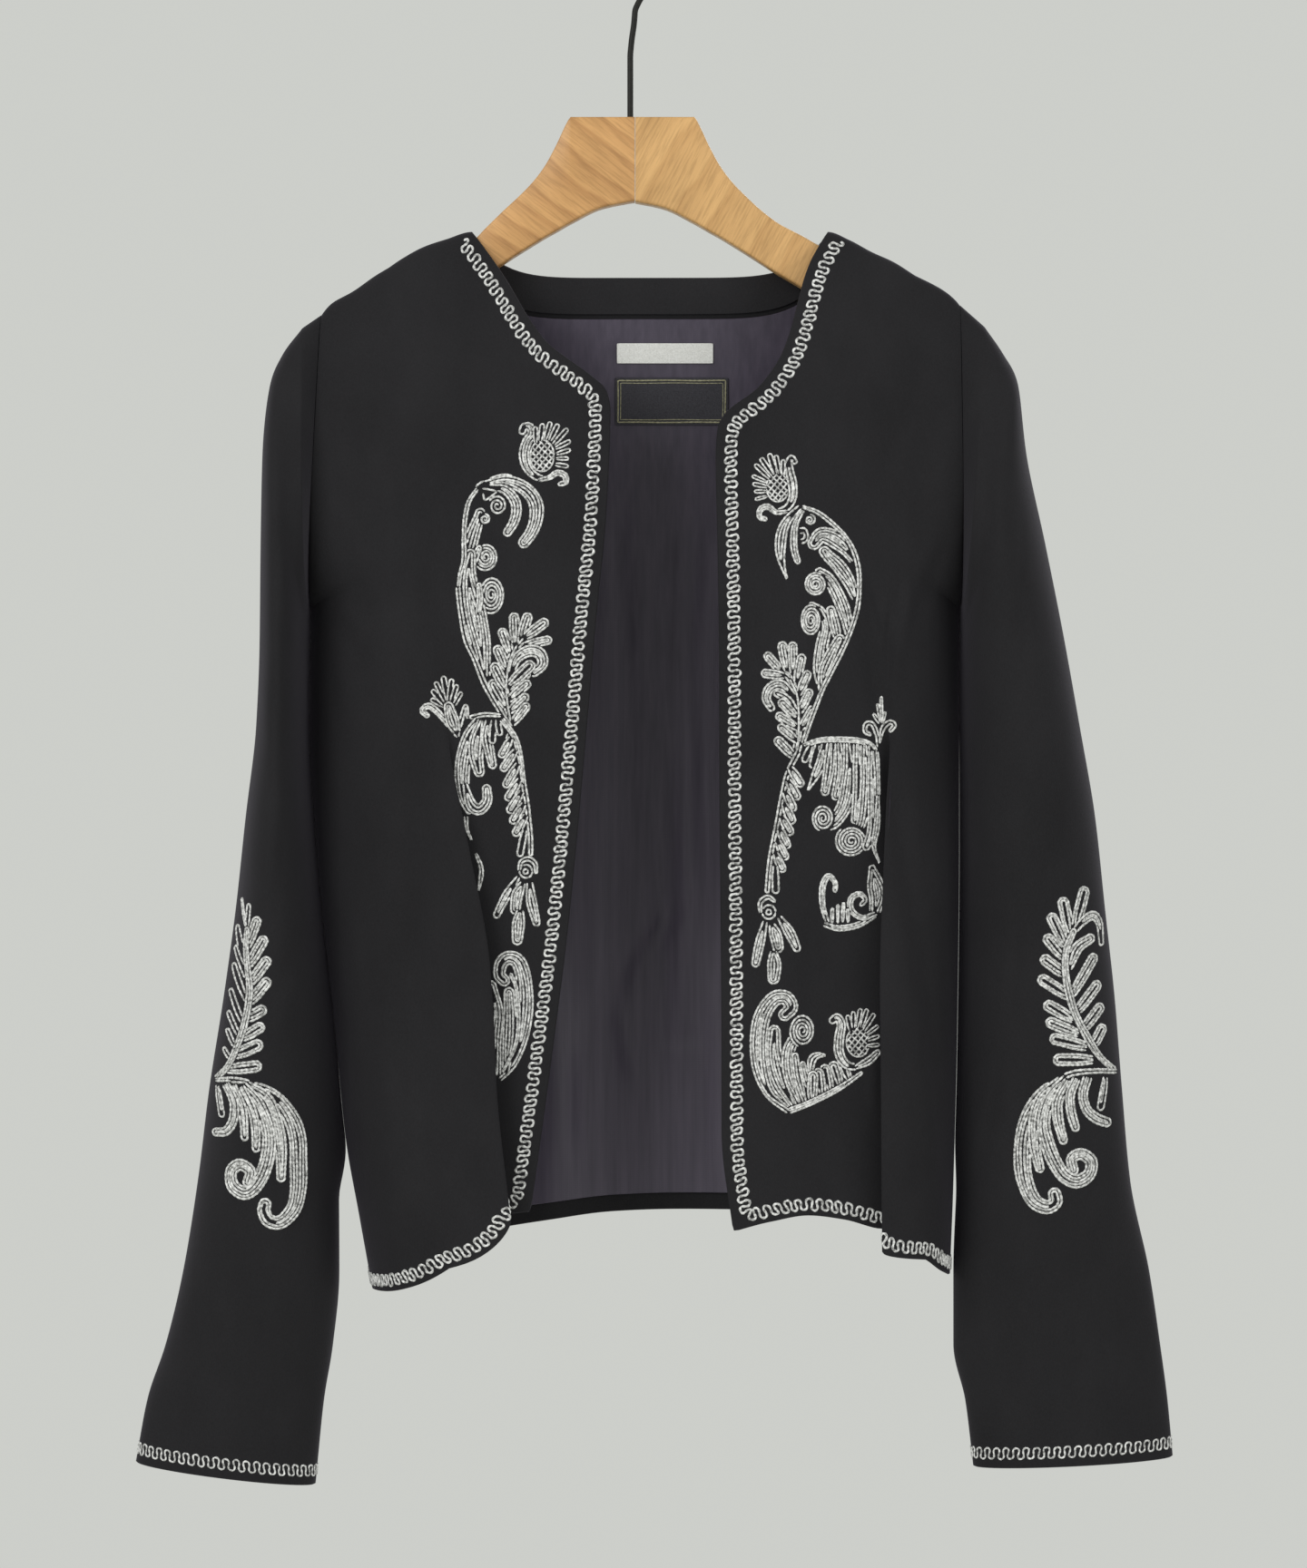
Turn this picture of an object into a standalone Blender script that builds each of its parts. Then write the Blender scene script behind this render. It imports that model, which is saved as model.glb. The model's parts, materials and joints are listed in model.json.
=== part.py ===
"""An embroidered velvet jacket hanging open on a two-piece wooden hanger with a wire hook.

Sizes are in millimetres from the hook's seat, the highest point inside the hook: +X is right, +Z is up and
the jacket's front faces -Y. "left" and "right" are as seen from the front. Each piece of cloth is a wall
between two surfaces. The outer one follows its edge, depth and fold tables, and the inner one lies one
cloth thickness inside it.
"""
import math

import bmesh
import bpy
import numpy as np

MM = 0.001

# Cloth thicknesses and the gap kept at every seam
VELVET = 1.8
LINING = 1.0
FACING = 1.2
LABEL = 0.6
LABEL_GAP = 0.4             # under a label's thread
SEAM = 0.3

# How far the cloth stands from the hanger's plane, by distance down the cloth from the shoulder ridge
CLOTH_LENGTH = 545.0
DEPTH_BY_DISTANCE = (
    # distance, depth
    (0, 0.0), (3, 3.0), (6, 5.9), (9, 8.3), (12, 9.9), (20, 12.8), (40, 18.5), (70, 26.0),
    (110, 34.0), (160, 42.0), (230, 48.0), (320, 52.0), (430, 55.0), (CLOTH_LENGTH, 57.0),
)
SIDE_ROUNDING = 48.0        # width over which a panel curves round to its side seam
SHOULDER_ROWS = (0.0, 4.0, 8.0, 14.0)
ARMHOLE_ROWS = (0.04, 0.08, 0.12, 0.16, 0.20, 0.24, 0.27, 0.292)
ROWS_BELOW_ARMHOLE = 12
FACING_ROWS = len(SHOULDER_ROWS)    # the facing ends, and the lining starts, on this row of the back
HEM_BAND = 10.0             # turned-up velvet below the lining
UNDERARM = -375.0           # height of both underarm points
ARMHOLE_WIDEST = -292.0     # height from which the armholes close towards the underarm

SHOULDER_LINE = (
    # x, height
    (-166.0, -217.7), (-157.6, -211.4), (-146.0, -205.1), (-134.3, -195.4), (-122.7, -187.2),
    (-111.0, -180.9), (-99.4, -177.0), (-85.8, -173.1), (104.3, -173.1), (115.9, -177.5),
    (127.6, -183.8), (139.2, -189.1), (150.8, -196.4), (162.5, -203.7), (174.6, -212.4),
)
NECK_LEFT = -85.8
NECK_RIGHT = 104.3
BACK_NECK_DROP = 0.0433     # cut of the back neckline, as a share of the panel's height
NECK_CORNER = 1.6           # width in which the back neckline drops behind the hanger
SHOULDER_COLUMNS = 7        # of the back, under each shoulder seam
NECK_COLUMNS = 12           # of the back, under its neckline
FACING_TOP_MARGIN = 0.25    # share of the first row by which the facing stays below the neck edge

SIDES = {
    "left": {
        "inward": 1,
        "side_line": (
            # height, x
            (-217.7, -166.0), (-290.0, -168.6), (-375.0, -171.7), (-437.0, -172.4), (-520.0, -167.3),
            (-594.0, -159.5), (-658.0, -153.2), (-699.0, -146.0), (-736.7, -139.2),
        ),
        "front_edge": (
            # height, x
            (-173.1, -85.8), (-195.7, -73.3), (-232.8, -51.3), (-255.5, -24.5), (-262.0, -19.6),
            (-272.0, -18.3), (-341.9, -22.3), (-413.6, -29.4), (-485.5, -37.5), (-556.7, -43.6),
            (-628.6, -51.0), (-693.0, -59.5),
        ),
        "front_hem": (
            # share from front edge to side, height
            (0.0, -693.0), (0.18, -694.0), (0.42, -695.0), (0.54, -698.0), (0.66, -721.0),
            (0.78, -731.0), (0.90, -735.5), (1.0, -736.7),
        ),
        "fold_span": (0.18, 0.66),
        "columns": (3, 9, 7),       # from front edge to fold, across it, and on to the side
        "fold": (
            # progress down the panel, centre x, half width, lean, recede
            (0.00, -112.0, 18.0, 0.00, 0.0), (0.25, -108.0, 18.0, 0.00, 0.0),
            (0.40, -104.0, 16.0, 0.00, 1.0), (0.48, -99.0, 14.0, 0.15, 4.0),
            (0.61, -90.5, 12.0, 0.55, 9.5), (0.74, -84.5, 13.0, 0.85, 14.0),
            (0.84, -85.5, 14.0, 1.00, 17.0), (1.00, -79.5, 16.0, 1.00, 18.0),
        ),
    },
    "right": {
        "inward": -1,
        "side_line": (
            (-212.4, 174.6), (-375.0, 174.6), (-500.0, 174.6), (-600.0, 173.5), (-680.0, 171.5),
            (-729.4, 169.6),
        ),
        "front_edge": (
            (-173.1, 104.3), (-192.5, 97.2), (-237.8, 85.6), (-258.0, 72.5), (-274.5, 53.3),
            (-282.0, 50.6), (-294.0, 50.3), (-389.9, 50.8), (-485.2, 51.7), (-580.7, 50.8),
            (-652.2, 51.7), (-703.3, 58.5),
        ),
        "front_hem": (
            (0.0, -703.3), (0.10, -698.0), (0.20, -694.7), (0.30, -697.0), (0.40, -702.0),
            (0.50, -703.5), (0.70, -713.0), (0.80, -718.0), (0.90, -725.0), (1.0, -729.4),
        ),
        "fold_span": (0.40, 0.80),
        "columns": (6, 9, 5),
        "fold": (
            (0.00, 138.0, 13.0, 0.00, 0.0), (0.30, 138.0, 13.0, 0.00, 0.0),
            (0.38, 136.0, 12.5, 0.10, 3.0), (0.45, 134.5, 12.0, 0.45, 8.0),
            (0.55, 138.5, 11.0, 0.80, 13.0), (0.75, 141.5, 11.5, 1.00, 16.0),
            (1.00, 143.0, 12.0, 1.00, 17.0),
        ),
    },
}
BACK_HEM = (
    # x at the hem, height
    (-139.2, -736.7), (-110.0, -723.0), (-64.0, -708.0), (-10.0, -700.5), (45.0, -699.0),
    (100.0, -698.5), (140.0, -709.0), (169.6, -729.4),
)

# Soft vertical waves: top x, top height, bottom x, bottom height, half width, how far each stands out
BACK_WAVES = (
    (-95.0, -420.0, -88.0, -760.0, 22.0, 8.0),
    (-48.0, -520.0, -40.0, -760.0, 17.0, -6.0),
    (4.0, -330.0, 10.0, -760.0, 24.0, 5.0),
    (62.0, -500.0, 58.0, -760.0, 18.0, -6.0),
    (112.0, -400.0, 108.0, -760.0, 22.0, 8.0),
)
FRONT_WAVES = (
    (-128.0, -300.0, -118.0, -760.0, 14.0, 3.0),
    (120.0, -356.0, 133.0, -440.0, 6.0, -3.0),
    (78.0, -430.0, 84.0, -760.0, 16.0, 3.0),
)

SLEEVE_HEAD_ROWS = 5        # rows over which the armhole's outline becomes an ellipse
SLEEVES = {
    "left": (
        # outer x, outer height, inner x, inner height, half depth
        (-176.0, -224.5, -173.2, -379.0, 50.0), (-186.5, -238.5, -173.6, -384.0, 55.0),
        (-193.0, -254.0, -173.8, -389.0, 59.0), (-196.9, -290.0, -174.0, -396.0, 64.0),
        (-197.9, -343.0, -174.0, -408.0, 66.0), (-198.4, -392.0, -173.9, -424.0, 66.0),
        (-200.3, -437.0, -173.3, -444.0, 65.0), (-206.1, -485.5, -171.0, -485.5, 63.0),
        (-211.5, -534.0, -167.8, -534.0, 61.0), (-218.3, -582.5, -162.4, -582.5, 58.0),
        (-226.0, -631.0, -157.6, -631.0, 53.0), (-231.6, -676.0, -157.0, -676.0, 48.0),
        (-240.0, -728.0, -156.7, -728.0, 41.0), (-249.3, -766.8, -160.0, -766.8, 34.0),
        (-259.0, -795.9, -164.9, -797.5, 29.0), (-265.3, -829.5, -169.3, -841.5, 26.0),
    ),
    "right": (
        (187.7, -223.8, 176.0, -379.0, 50.0), (197.5, -238.0, 176.2, -384.0, 55.0),
        (205.2, -253.0, 176.4, -389.0, 58.0), (210.0, -291.5, 176.4, -398.0, 60.0),
        (220.2, -340.0, 176.2, -412.0, 60.0), (229.9, -388.5, 175.9, -430.0, 59.0),
        (238.6, -437.0, 175.6, -452.0, 57.0), (246.9, -485.5, 175.4, -490.0, 54.0),
        (252.2, -534.0, 175.4, -534.0, 51.0), (257.5, -582.5, 175.2, -582.5, 48.0),
        (261.4, -631.0, 174.4, -631.0, 44.0), (265.8, -679.5, 173.2, -679.5, 40.0),
        (276.0, -728.0, 171.4, -728.0, 31.0), (281.8, -766.8, 171.4, -766.8, 27.0),
        (285.7, -795.9, 177.8, -797.5, 25.0), (288.6, -826.5, 182.0, -832.0, 24.0),
    ),
}

# Labels sewn to the lining: middle x, middle height, width, height
WHITE_LABEL = (17.4, -235.0, 51.5, 10.4)
BLACK_LABEL = (21.0, -260.6, 60.6, 25.0)

HANGER_HALF_THICKNESS = 6.5
HANGER_BEVEL = 2.0
HANGER_SEAM_X = 1.4
HANGER_TOP = -112.0
HANGER_OUTLINE = (
    # reach from the middle, top of left arm, top of right arm, bottom of both
    (0.0, -112.0, -112.0, -157.1), (16.5, -112.0, -112.0, -160.6), (33.0, -112.0, -112.0, -168.6),
    (35.0, -115.0, -115.0, -169.7), (40.5, -126.6, -126.6, -172.9), (46.8, -138.2, -138.2, -176.4),
    (53.0, -146.5, -146.5, -180.2), (60.1, -153.9, -153.9, -184.6), (68.5, -161.7, -161.7, -190.0),
    (79.0, -172.0, -169.5, -196.6), (84.0, -177.0, -172.1, -199.5), (90.0, -179.6, -175.2, -203.0),
    (101.0, -183.6, -181.2, -209.5), (120.0, -191.9, -188.0, -219.5), (140.0, -204.4, -193.4, -230.0),
    (154.0, -212.9, -201.4, -238.0), (160.0, -219.0, -207.6, -236.0), (162.5, -224.0, -213.0, -229.0),
)

WIRE_RADIUS = 1.6
HOOK_RADIUS = 24.0          # of the wire's centre line round the hook
HOOK_START = math.radians(-62.0)
HOOK_END = math.radians(205.0)
HOOK_ARC_POINTS = 25
HOOK_STEM = (
    # x, height
    (-1.2, HANGER_TOP + SEAM), (-1.2, -95.0), (-1.2, -78.0), (-0.4, -70.0), (0.8, -62.0),
    (1.4, -54.0), (4.6, -47.6),
)


def smooth(table, at, column=1):
    """Reads a table's column at the given places, as a smooth curve with no overshoot between rows."""
    places = np.array([row[0] for row in table], float)
    values = np.array([row[column] for row in table], float)
    steps = np.diff(places)
    slopes = np.diff(values) / steps
    before, after = slopes[:-1], slopes[1:]
    same_way = before * after > 0
    total = np.where(same_way, before + after, 1.0)
    middle = np.where(same_way, 2 * before * after / total, 0.0)
    tangents = np.concatenate([slopes[:1], middle, slopes[-1:]])
    at = np.clip(np.asarray(at, float), places[0], places[-1])
    i = np.clip(np.searchsorted(places, at, side="right") - 1, 0, len(steps) - 1)
    t = (at - places[i]) / steps[i]
    rise = values[i + 1] - values[i]
    bend = (steps[i] * tangents[i] - rise) * (1 - t) - (steps[i] * tangents[i + 1] - rise) * t
    return values[i] + t * rise + t * (1 - t) * bend


def reversed_rows(table):
    """The same table with its first column rising."""
    return tuple(sorted(table))


DISTANCES = np.linspace(0.0, CLOTH_LENGTH, 546)
DEPTHS = smooth(DEPTH_BY_DISTANCE, DISTANCES)
DROPS = np.append(0.0, np.cumsum(np.sqrt(np.maximum(0.0, np.diff(DISTANCES) ** 2 - np.diff(DEPTHS) ** 2))))


def progress_at(distance):
    """Share of a panel's height reached at a distance down the cloth."""
    return np.interp(distance, DISTANCES, DROPS) / DROPS[-1]


def full_depth(progress):
    """How far the flat of a panel stands from the hanger's plane."""
    return np.interp(progress * DROPS[-1], DROPS, DEPTHS)


def waves(x, z, table):
    """How far soft waves along slanted lines push the cloth outwards."""
    push = np.zeros(np.broadcast(x, z).shape)
    for top_x, top_z, bottom_x, bottom_z, half_width, height in table:
        along = (top_z - z) / (top_z - bottom_z)
        off = (x - (top_x + (bottom_x - top_x) * along)) / half_width
        fade = np.clip(along * 2, 0, 1)
        push = push + height * np.exp(-off ** 2) * fade * fade * (3 - 2 * fade)
    return push


def side_edge(side, progress):
    """The armhole and side seam: x, depth left at the edge, height."""
    table = SIDES[side]["side_line"]
    top, bottom = table[0][0], table[-1][0]
    z = top + (bottom - top) * progress
    x = smooth(reversed_rows(table), z)
    below = np.clip((ARMHOLE_WIDEST - z) / (ARMHOLE_WIDEST - UNDERARM), 0.0, 1.0)
    return x, full_depth(progress) * np.sqrt(1.0 - below ** 2), z


def rounded(x, edge_x, edge_depth, depth):
    """Depth of a panel at x: full on its flat, curving round to its edge."""
    turn = np.clip(1.0 - np.abs(edge_x - x) / SIDE_ROUNDING, 0.0, 1.0)
    return edge_depth + (depth - edge_depth) * np.sqrt(1.0 - turn ** 2)


def front_surface(side, across, progress):
    """A front's outer surface. across runs from the front edge, 0, to the side, 1."""
    spec = SIDES[side]
    inward = spec["inward"]
    fold_start, fold_end = spec["fold_span"]
    edge_x, edge_depth, edge_z = side_edge(side, progress)
    hem = smooth(spec["front_hem"], across)
    front_top = spec["front_edge"][0][0]
    front_z = front_top + (spec["front_hem"][0][1] - front_top) * progress
    front_x = smooth(reversed_rows(spec["front_edge"]), front_z)
    centre, half_width, lean, recede = (smooth(spec["fold"], progress, k) for k in (1, 2, 3, 4))
    tau = np.clip(1.0 - 2.0 * (across - fold_start) / (fold_end - fold_start), -1.0, 1.0)
    folded = centre + inward * half_width * ((1.0 - lean) * tau + lean * (4.0 * tau ** 3 - 3.0 * tau))
    before = front_x + (centre + inward * half_width - front_x) * across / fold_start
    to_side = np.clip((across - fold_end) / (1.0 - fold_end), 0.0, 1.0)
    last = centre - inward * half_width
    after = last + (edge_x - last) * (0.5 * to_side + 0.5 * np.sin(to_side * math.pi / 2))
    x = np.where(across < fold_start, before, np.where(across > fold_end, after, folded))
    ridge = smooth(SHOULDER_LINE, x_at_shoulder(side, across))
    z = ridge + (hem - ridge) * progress
    depth = rounded(x, edge_x, edge_depth, full_depth(progress))
    depth = depth - recede * (0.5 + 0.75 * tau - 0.25 * tau ** 3)
    depth = depth + waves(x, z, FRONT_WAVES) * np.clip(depth / 40.0, 0.0, 1.0)
    return np.stack([x, -np.maximum(depth, SEAM / 2), z], axis=-1)


def x_at_shoulder(side, across):
    """Where a front's columns start along the shoulder seam."""
    spec = SIDES[side]
    fold_start, fold_end = spec["fold_span"]
    _, centre, half_width, _, _ = spec["fold"][0]
    inward = spec["inward"]
    stations = ((0.0, spec["front_edge"][0][1]), (fold_start, centre + inward * half_width),
                (fold_end, centre - inward * half_width), (1.0, spec["side_line"][0][1]))
    return np.interp(across, [row[0] for row in stations], [row[1] for row in stations])


def back_surface(across, progress):
    """The back's outer surface. across runs from the left side, 0, to the right side, 1."""
    left_x, left_depth, _ = side_edge("left", progress)
    right_x, right_depth, _ = side_edge("right", progress)
    x = left_x + (right_x - left_x) * across
    top_x = SHOULDER_LINE[0][0] + (SHOULDER_LINE[-1][0] - SHOULDER_LINE[0][0]) * across
    hem_x = BACK_HEM[0][0] + (BACK_HEM[-1][0] - BACK_HEM[0][0]) * across
    ridge = smooth(SHOULDER_LINE, top_x)
    z = ridge + (smooth(BACK_HEM, hem_x) - ridge) * progress
    depth = full_depth(progress)
    near_left = across < 0.5
    depth = rounded(x, np.where(near_left, left_x, right_x), np.where(near_left, left_depth, right_depth), depth)
    depth = depth + waves(x, z, BACK_WAVES) * np.clip(depth / 40.0, 0.0, 1.0)
    return np.stack([x, np.maximum(depth, SEAM / 2), z], axis=-1)


def back_neck(across):
    """Progress at which the back starts: 0 along the shoulders, lower along the neckline."""
    x = SHOULDER_LINE[0][0] + (SHOULDER_LINE[-1][0] - SHOULDER_LINE[0][0]) * across
    off = np.abs(2.0 * (x - NECK_LEFT) / (NECK_RIGHT - NECK_LEFT) - 1.0)
    return BACK_NECK_DROP * np.clip(1.0 - off ** 6, 0.0, 1.0)


def underarm_progress(side):
    table = SIDES[side]["side_line"]
    return (UNDERARM - table[0][0]) / (table[-1][0] - table[0][0])


def rows_for(side_progress):
    """All row progresses for a panel whose underarm lies at side_progress."""
    upper = [progress_at(distance) for distance in SHOULDER_ROWS] + list(ARMHOLE_ROWS)
    lower = np.linspace(side_progress, 1.0 - HEM_BAND / DROPS[-1], ROWS_BELOW_ARMHOLE)
    return np.concatenate([upper, lower, [1.0]])


def normals_of(points, closed_around=False):
    """Unit normals of a grid of points, from the slopes along its rows and columns."""
    if closed_around:
        wrapped = np.concatenate([points[:, -1:], points, points[:, :1]], axis=1)
        along_row = (wrapped[:, 2:] - wrapped[:, :-2]) / 2
    else:
        along_row = np.gradient(points, axis=1)
    down = np.gradient(points, axis=0)
    normal = np.cross(down, along_row)
    return normal / np.maximum(np.linalg.norm(normal, axis=-1, keepdims=True), 1e-9)


def unit(vectors):
    return vectors / np.maximum(np.linalg.norm(vectors, axis=-1, keepdims=True), 1e-9)


def offset_surface(points, normals, distance):
    return points - normals * distance


def material(name, colour, roughness, metallic=0.0):
    made = bpy.data.materials.new(name)
    made.use_nodes = True
    shader = made.node_tree.nodes["Principled BSDF"]
    shader.inputs["Base Color"].default_value = (*colour, 1.0)
    shader.inputs["Roughness"].default_value = roughness
    shader.inputs["Metallic"].default_value = metallic
    return made


def add_object(name, vertices, faces, finish):
    """Adds one closed solid from points in millimetres."""
    mesh = bpy.data.meshes.new(name)
    mesh.from_pydata([tuple(v * MM for v in vertex) for vertex in vertices], [], faces)
    shape = bmesh.new()
    shape.from_mesh(mesh)
    bmesh.ops.triangulate(shape, faces=shape.faces)
    bmesh.ops.recalc_face_normals(shape, faces=shape.faces)
    shape.to_mesh(mesh)
    shape.free()
    mesh.shade_smooth()
    mesh.set_sharp_from_angle(angle=math.radians(50))
    mesh.materials.append(finish)
    made = bpy.data.objects.new(name, mesh)
    bpy.context.scene.collection.objects.link(made)
    return made


def wall(name, outer, inner, finish, closed_around=False):
    """A wall between two grids of points, with its rims closed."""
    rows, columns = outer.shape[:2]
    vertices = list(outer.reshape(-1, 3)) + list(inner.reshape(-1, 3))
    below = rows * columns
    spans = columns if closed_around else columns - 1
    faces = []
    for i in range(rows - 1):
        for j in range(spans):
            k = (j + 1) % columns
            a, b, c, d = i * columns + j, i * columns + k, (i + 1) * columns + k, (i + 1) * columns + j
            faces.append((a, b, c, d))
            faces.append((below + d, below + c, below + b, below + a))
    for j in range(spans):
        k = (j + 1) % columns
        last = (rows - 1) * columns
        faces.append((k, j, below + j, below + k))
        faces.append((last + j, last + k, below + last + k, below + last + j))
    if not closed_around:
        for i in range(rows - 1):
            a, d = i * columns, (i + 1) * columns
            faces.append((a, d, below + d, below + a))
            a, d = a + columns - 1, d + columns - 1
            faces.append((d, a, below + a, below + d))
    return add_object(name, vertices, faces, finish)


def panel_normals(points, outward, seam_rows, seam_columns):
    """Outward normals of a body panel, kept in the seams' planes along its shoulder and side seams."""
    normal = normals_of(points)
    facing = np.sign(normal[len(points) // 2, points.shape[1] // 2, 1])
    normal = normal * (facing * outward)
    for row, column in seam_rows + seam_columns:
        normal[row, column, 1] = 0.0
    return unit(normal)


def build_front(side, finish):
    spec = SIDES[side]
    fold_start, fold_end = spec["fold_span"]
    before, folded, after = spec["columns"]
    across = np.concatenate([
        np.linspace(0, fold_start, before + 1), np.linspace(fold_start, fold_end, folded + 1)[1:],
        np.linspace(fold_end, 1, after + 1)[1:]])
    progress = rows_for(underarm_progress(side))
    outer = front_surface(side, *np.meshgrid(across, progress))
    underarm_row = len(progress) - ROWS_BELOW_ARMHOLE - 1
    normal = panel_normals(outer, -1, [(0, slice(None))], [(slice(underarm_row, None), -1)])
    keep_inside(normal, spec["inward"], [-1], underarm_row)
    wall("front_" + side, outer, offset_surface(outer, normal, VELVET), finish)


def keep_inside(normal, inward, columns, underarm_row):
    """Keeps a panel's inner edge on its own side of the armhole's plane."""
    for column in columns:
        edge = normal[:underarm_row + 1, column]
        edge[:, 0] = np.where(edge[:, 0] * inward > 0, 0.0, edge[:, 0])
    normal[:] = unit(normal)


def back_grid():
    """Outer points and outward normals of the back, whose rows and columns its inner layers share."""
    width = SHOULDER_LINE[-1][0] - SHOULDER_LINE[0][0]
    neck_left, neck_right = ((x - SHOULDER_LINE[0][0]) / width for x in (NECK_LEFT, NECK_RIGHT))
    beside = NECK_CORNER / width
    across = np.concatenate([
        np.linspace(0.0, neck_left, SHOULDER_COLUMNS),
        np.linspace(neck_left + beside, neck_right - beside, NECK_COLUMNS),
        np.linspace(neck_right, 1.0, SHOULDER_COLUMNS)])
    progress = rows_for((underarm_progress("left") + underarm_progress("right")) / 2)
    grid_across, grid_progress = np.meshgrid(across, progress)
    start = back_neck(grid_across)
    points = back_surface(grid_across, start + (1.0 - start) * grid_progress)
    underarm_row = len(progress) - ROWS_BELOW_ARMHOLE - 1
    shoulder = np.where(back_neck(across) <= 0)[0]
    normal = panel_normals(points, 1, [(0, shoulder)],
                           [(slice(underarm_row, None), 0), (slice(underarm_row, None), -1)])
    keep_inside(normal, 1, [0], underarm_row)
    keep_inside(normal, -1, [-1], underarm_row)
    return points, normal


def build_back(velvet, satin):
    """The back, the facing inside its neck and the lining inside the rest of it."""
    points, normal = back_grid()
    wall("back", points, offset_surface(points, normal, VELVET), velvet)
    inside = VELVET + SEAM

    neck = slice(SHOULDER_COLUMNS + 1, SHOULDER_COLUMNS + NECK_COLUMNS - 1)
    band, band_normal = points[:FACING_ROWS + 1, neck].copy(), normal[:FACING_ROWS + 1, neck]
    band[0] += (band[1] - band[0]) * FACING_TOP_MARGIN
    last = band[-1] - band[-2]
    band[-1] -= last * SEAM / np.linalg.norm(last, axis=-1, keepdims=True)
    wall("neck_facing", offset_surface(band, band_normal, inside),
         offset_surface(band, band_normal, inside + FACING), velvet)

    lined, lined_normal = points[FACING_ROWS:-1, 1:-1], normal[FACING_ROWS:-1, 1:-1]
    wall("lining_back", offset_surface(lined, lined_normal, inside),
         offset_surface(lined, lined_normal, inside + LINING), satin)


def back_place(x, z):
    """Across and progress of the back at a place seen from the front."""
    progress = (SHOULDER_LINE[7][1] - z) / DROPS[-1]
    for _ in range(4):
        left_x = side_edge("left", progress)[0]
        right_x = side_edge("right", progress)[0]
        across = (x - left_x) / (right_x - left_x)
        hem_x = BACK_HEM[0][0] + (BACK_HEM[-1][0] - BACK_HEM[0][0]) * across
        top_x = SHOULDER_LINE[0][0] + (SHOULDER_LINE[-1][0] - SHOULDER_LINE[0][0]) * across
        ridge = smooth(SHOULDER_LINE, top_x)
        progress = (z - ridge) / (smooth(BACK_HEM, hem_x) - ridge)
    return across, progress


def build_label(name, size, finish):
    middle_x, middle_z, width, height = size
    x, z = np.meshgrid(np.linspace(-0.5, 0.5, 7) * width + middle_x,
                       np.linspace(0.5, -0.5, 3) * height + middle_z)
    points = back_surface(*back_place(x, z))
    normal = panel_normals(points, 1, [], [])
    inside = VELVET + SEAM + LINING + LABEL_GAP
    wall(name, offset_surface(points, normal, inside), offset_surface(points, normal, inside + LABEL), finish)


def build_sleeve(side, finish):
    spec = SIDES[side]
    inward = spec["inward"]
    progress = rows_for(underarm_progress(side))[:-ROWS_BELOW_ARMHOLE]
    edge_x, edge_depth, edge_z = side_edge(side, progress)
    half = len(progress)
    count = 2 * (half - 1)
    ring_z = np.concatenate([edge_z, edge_z[-2:0:-1]])
    ring_x = np.concatenate([edge_x, edge_x[-2:0:-1]]) - inward * SEAM
    ring_y = np.concatenate([-edge_depth, edge_depth[-2:0:-1]])
    angle = np.arange(count) * 2 * math.pi / count
    top, bottom = edge_z[0], edge_z[-1]
    ring_along = 2 * (ring_z - bottom) / (top - bottom) - 1
    widest = np.abs(ring_y).max()
    rings = [np.stack([ring_x, ring_y, ring_z], axis=-1)]
    for row, (outer_x, outer_z, inner_x, inner_z, half_depth) in enumerate(SLEEVES[side]):
        share = min(1.0, (row + 1) / SLEEVE_HEAD_ROWS)
        share = share * share * (3 - 2 * share)
        along = ring_along * (1 - share) + np.cos(angle) * share
        deep = ring_y / widest * (1 - share) - np.sin(angle) * share
        centre_x, centre_z = (outer_x + inner_x) / 2, (outer_z + inner_z) / 2
        rings.append(np.stack([centre_x + (outer_x - inner_x) / 2 * along, half_depth * deep,
                               centre_z + (outer_z - inner_z) / 2 * along], axis=-1))
    outer = np.array(rings)
    normal = normals_of(outer, closed_around=True)
    outwards = np.sign(np.sum((outer - outer.mean(axis=1, keepdims=True)) * normal))
    normal = normal * outwards
    first = normal[0]
    first[:, 0] = np.where(first[:, 0] * inward < 0, 0.0, first[:, 0])
    normal = unit(normal)
    wall("sleeve_" + side, outer, offset_surface(outer, normal, VELVET), finish, closed_around=True)


def build_hanger(side, finish):
    """One glued half of the wooden hanger: bevelled sections from the middle out to the arm's end."""
    direction = -1 if side == "left" else 1
    top_column = 1 if side == "left" else 2
    vertices = []
    for row in HANGER_OUTLINE:
        reach, top, bottom = row[0], row[top_column], row[3]
        x = HANGER_SEAM_X + direction * SEAM / 2 if reach == 0 else direction * reach
        bevel = min(HANGER_BEVEL, (top - bottom) / 3)
        thick = HANGER_HALF_THICKNESS
        vertices += [(x, -thick, top - bevel), (x, -thick + bevel, top), (x, thick - bevel, top),
                     (x, thick, top - bevel), (x, thick, bottom + bevel), (x, thick - bevel, bottom),
                     (x, -thick + bevel, bottom), (x, -thick, bottom + bevel)]
    sides = 8
    sections = len(HANGER_OUTLINE)
    faces = [tuple(range(sides)), tuple(range((sections - 1) * sides, sections * sides))]
    for i in range(sections - 1):
        for j in range(sides):
            k = (j + 1) % sides
            faces.append((i * sides + j, i * sides + k, (i + 1) * sides + k, (i + 1) * sides + j))
    add_object("hanger_" + side, vertices, faces, finish)


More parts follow.
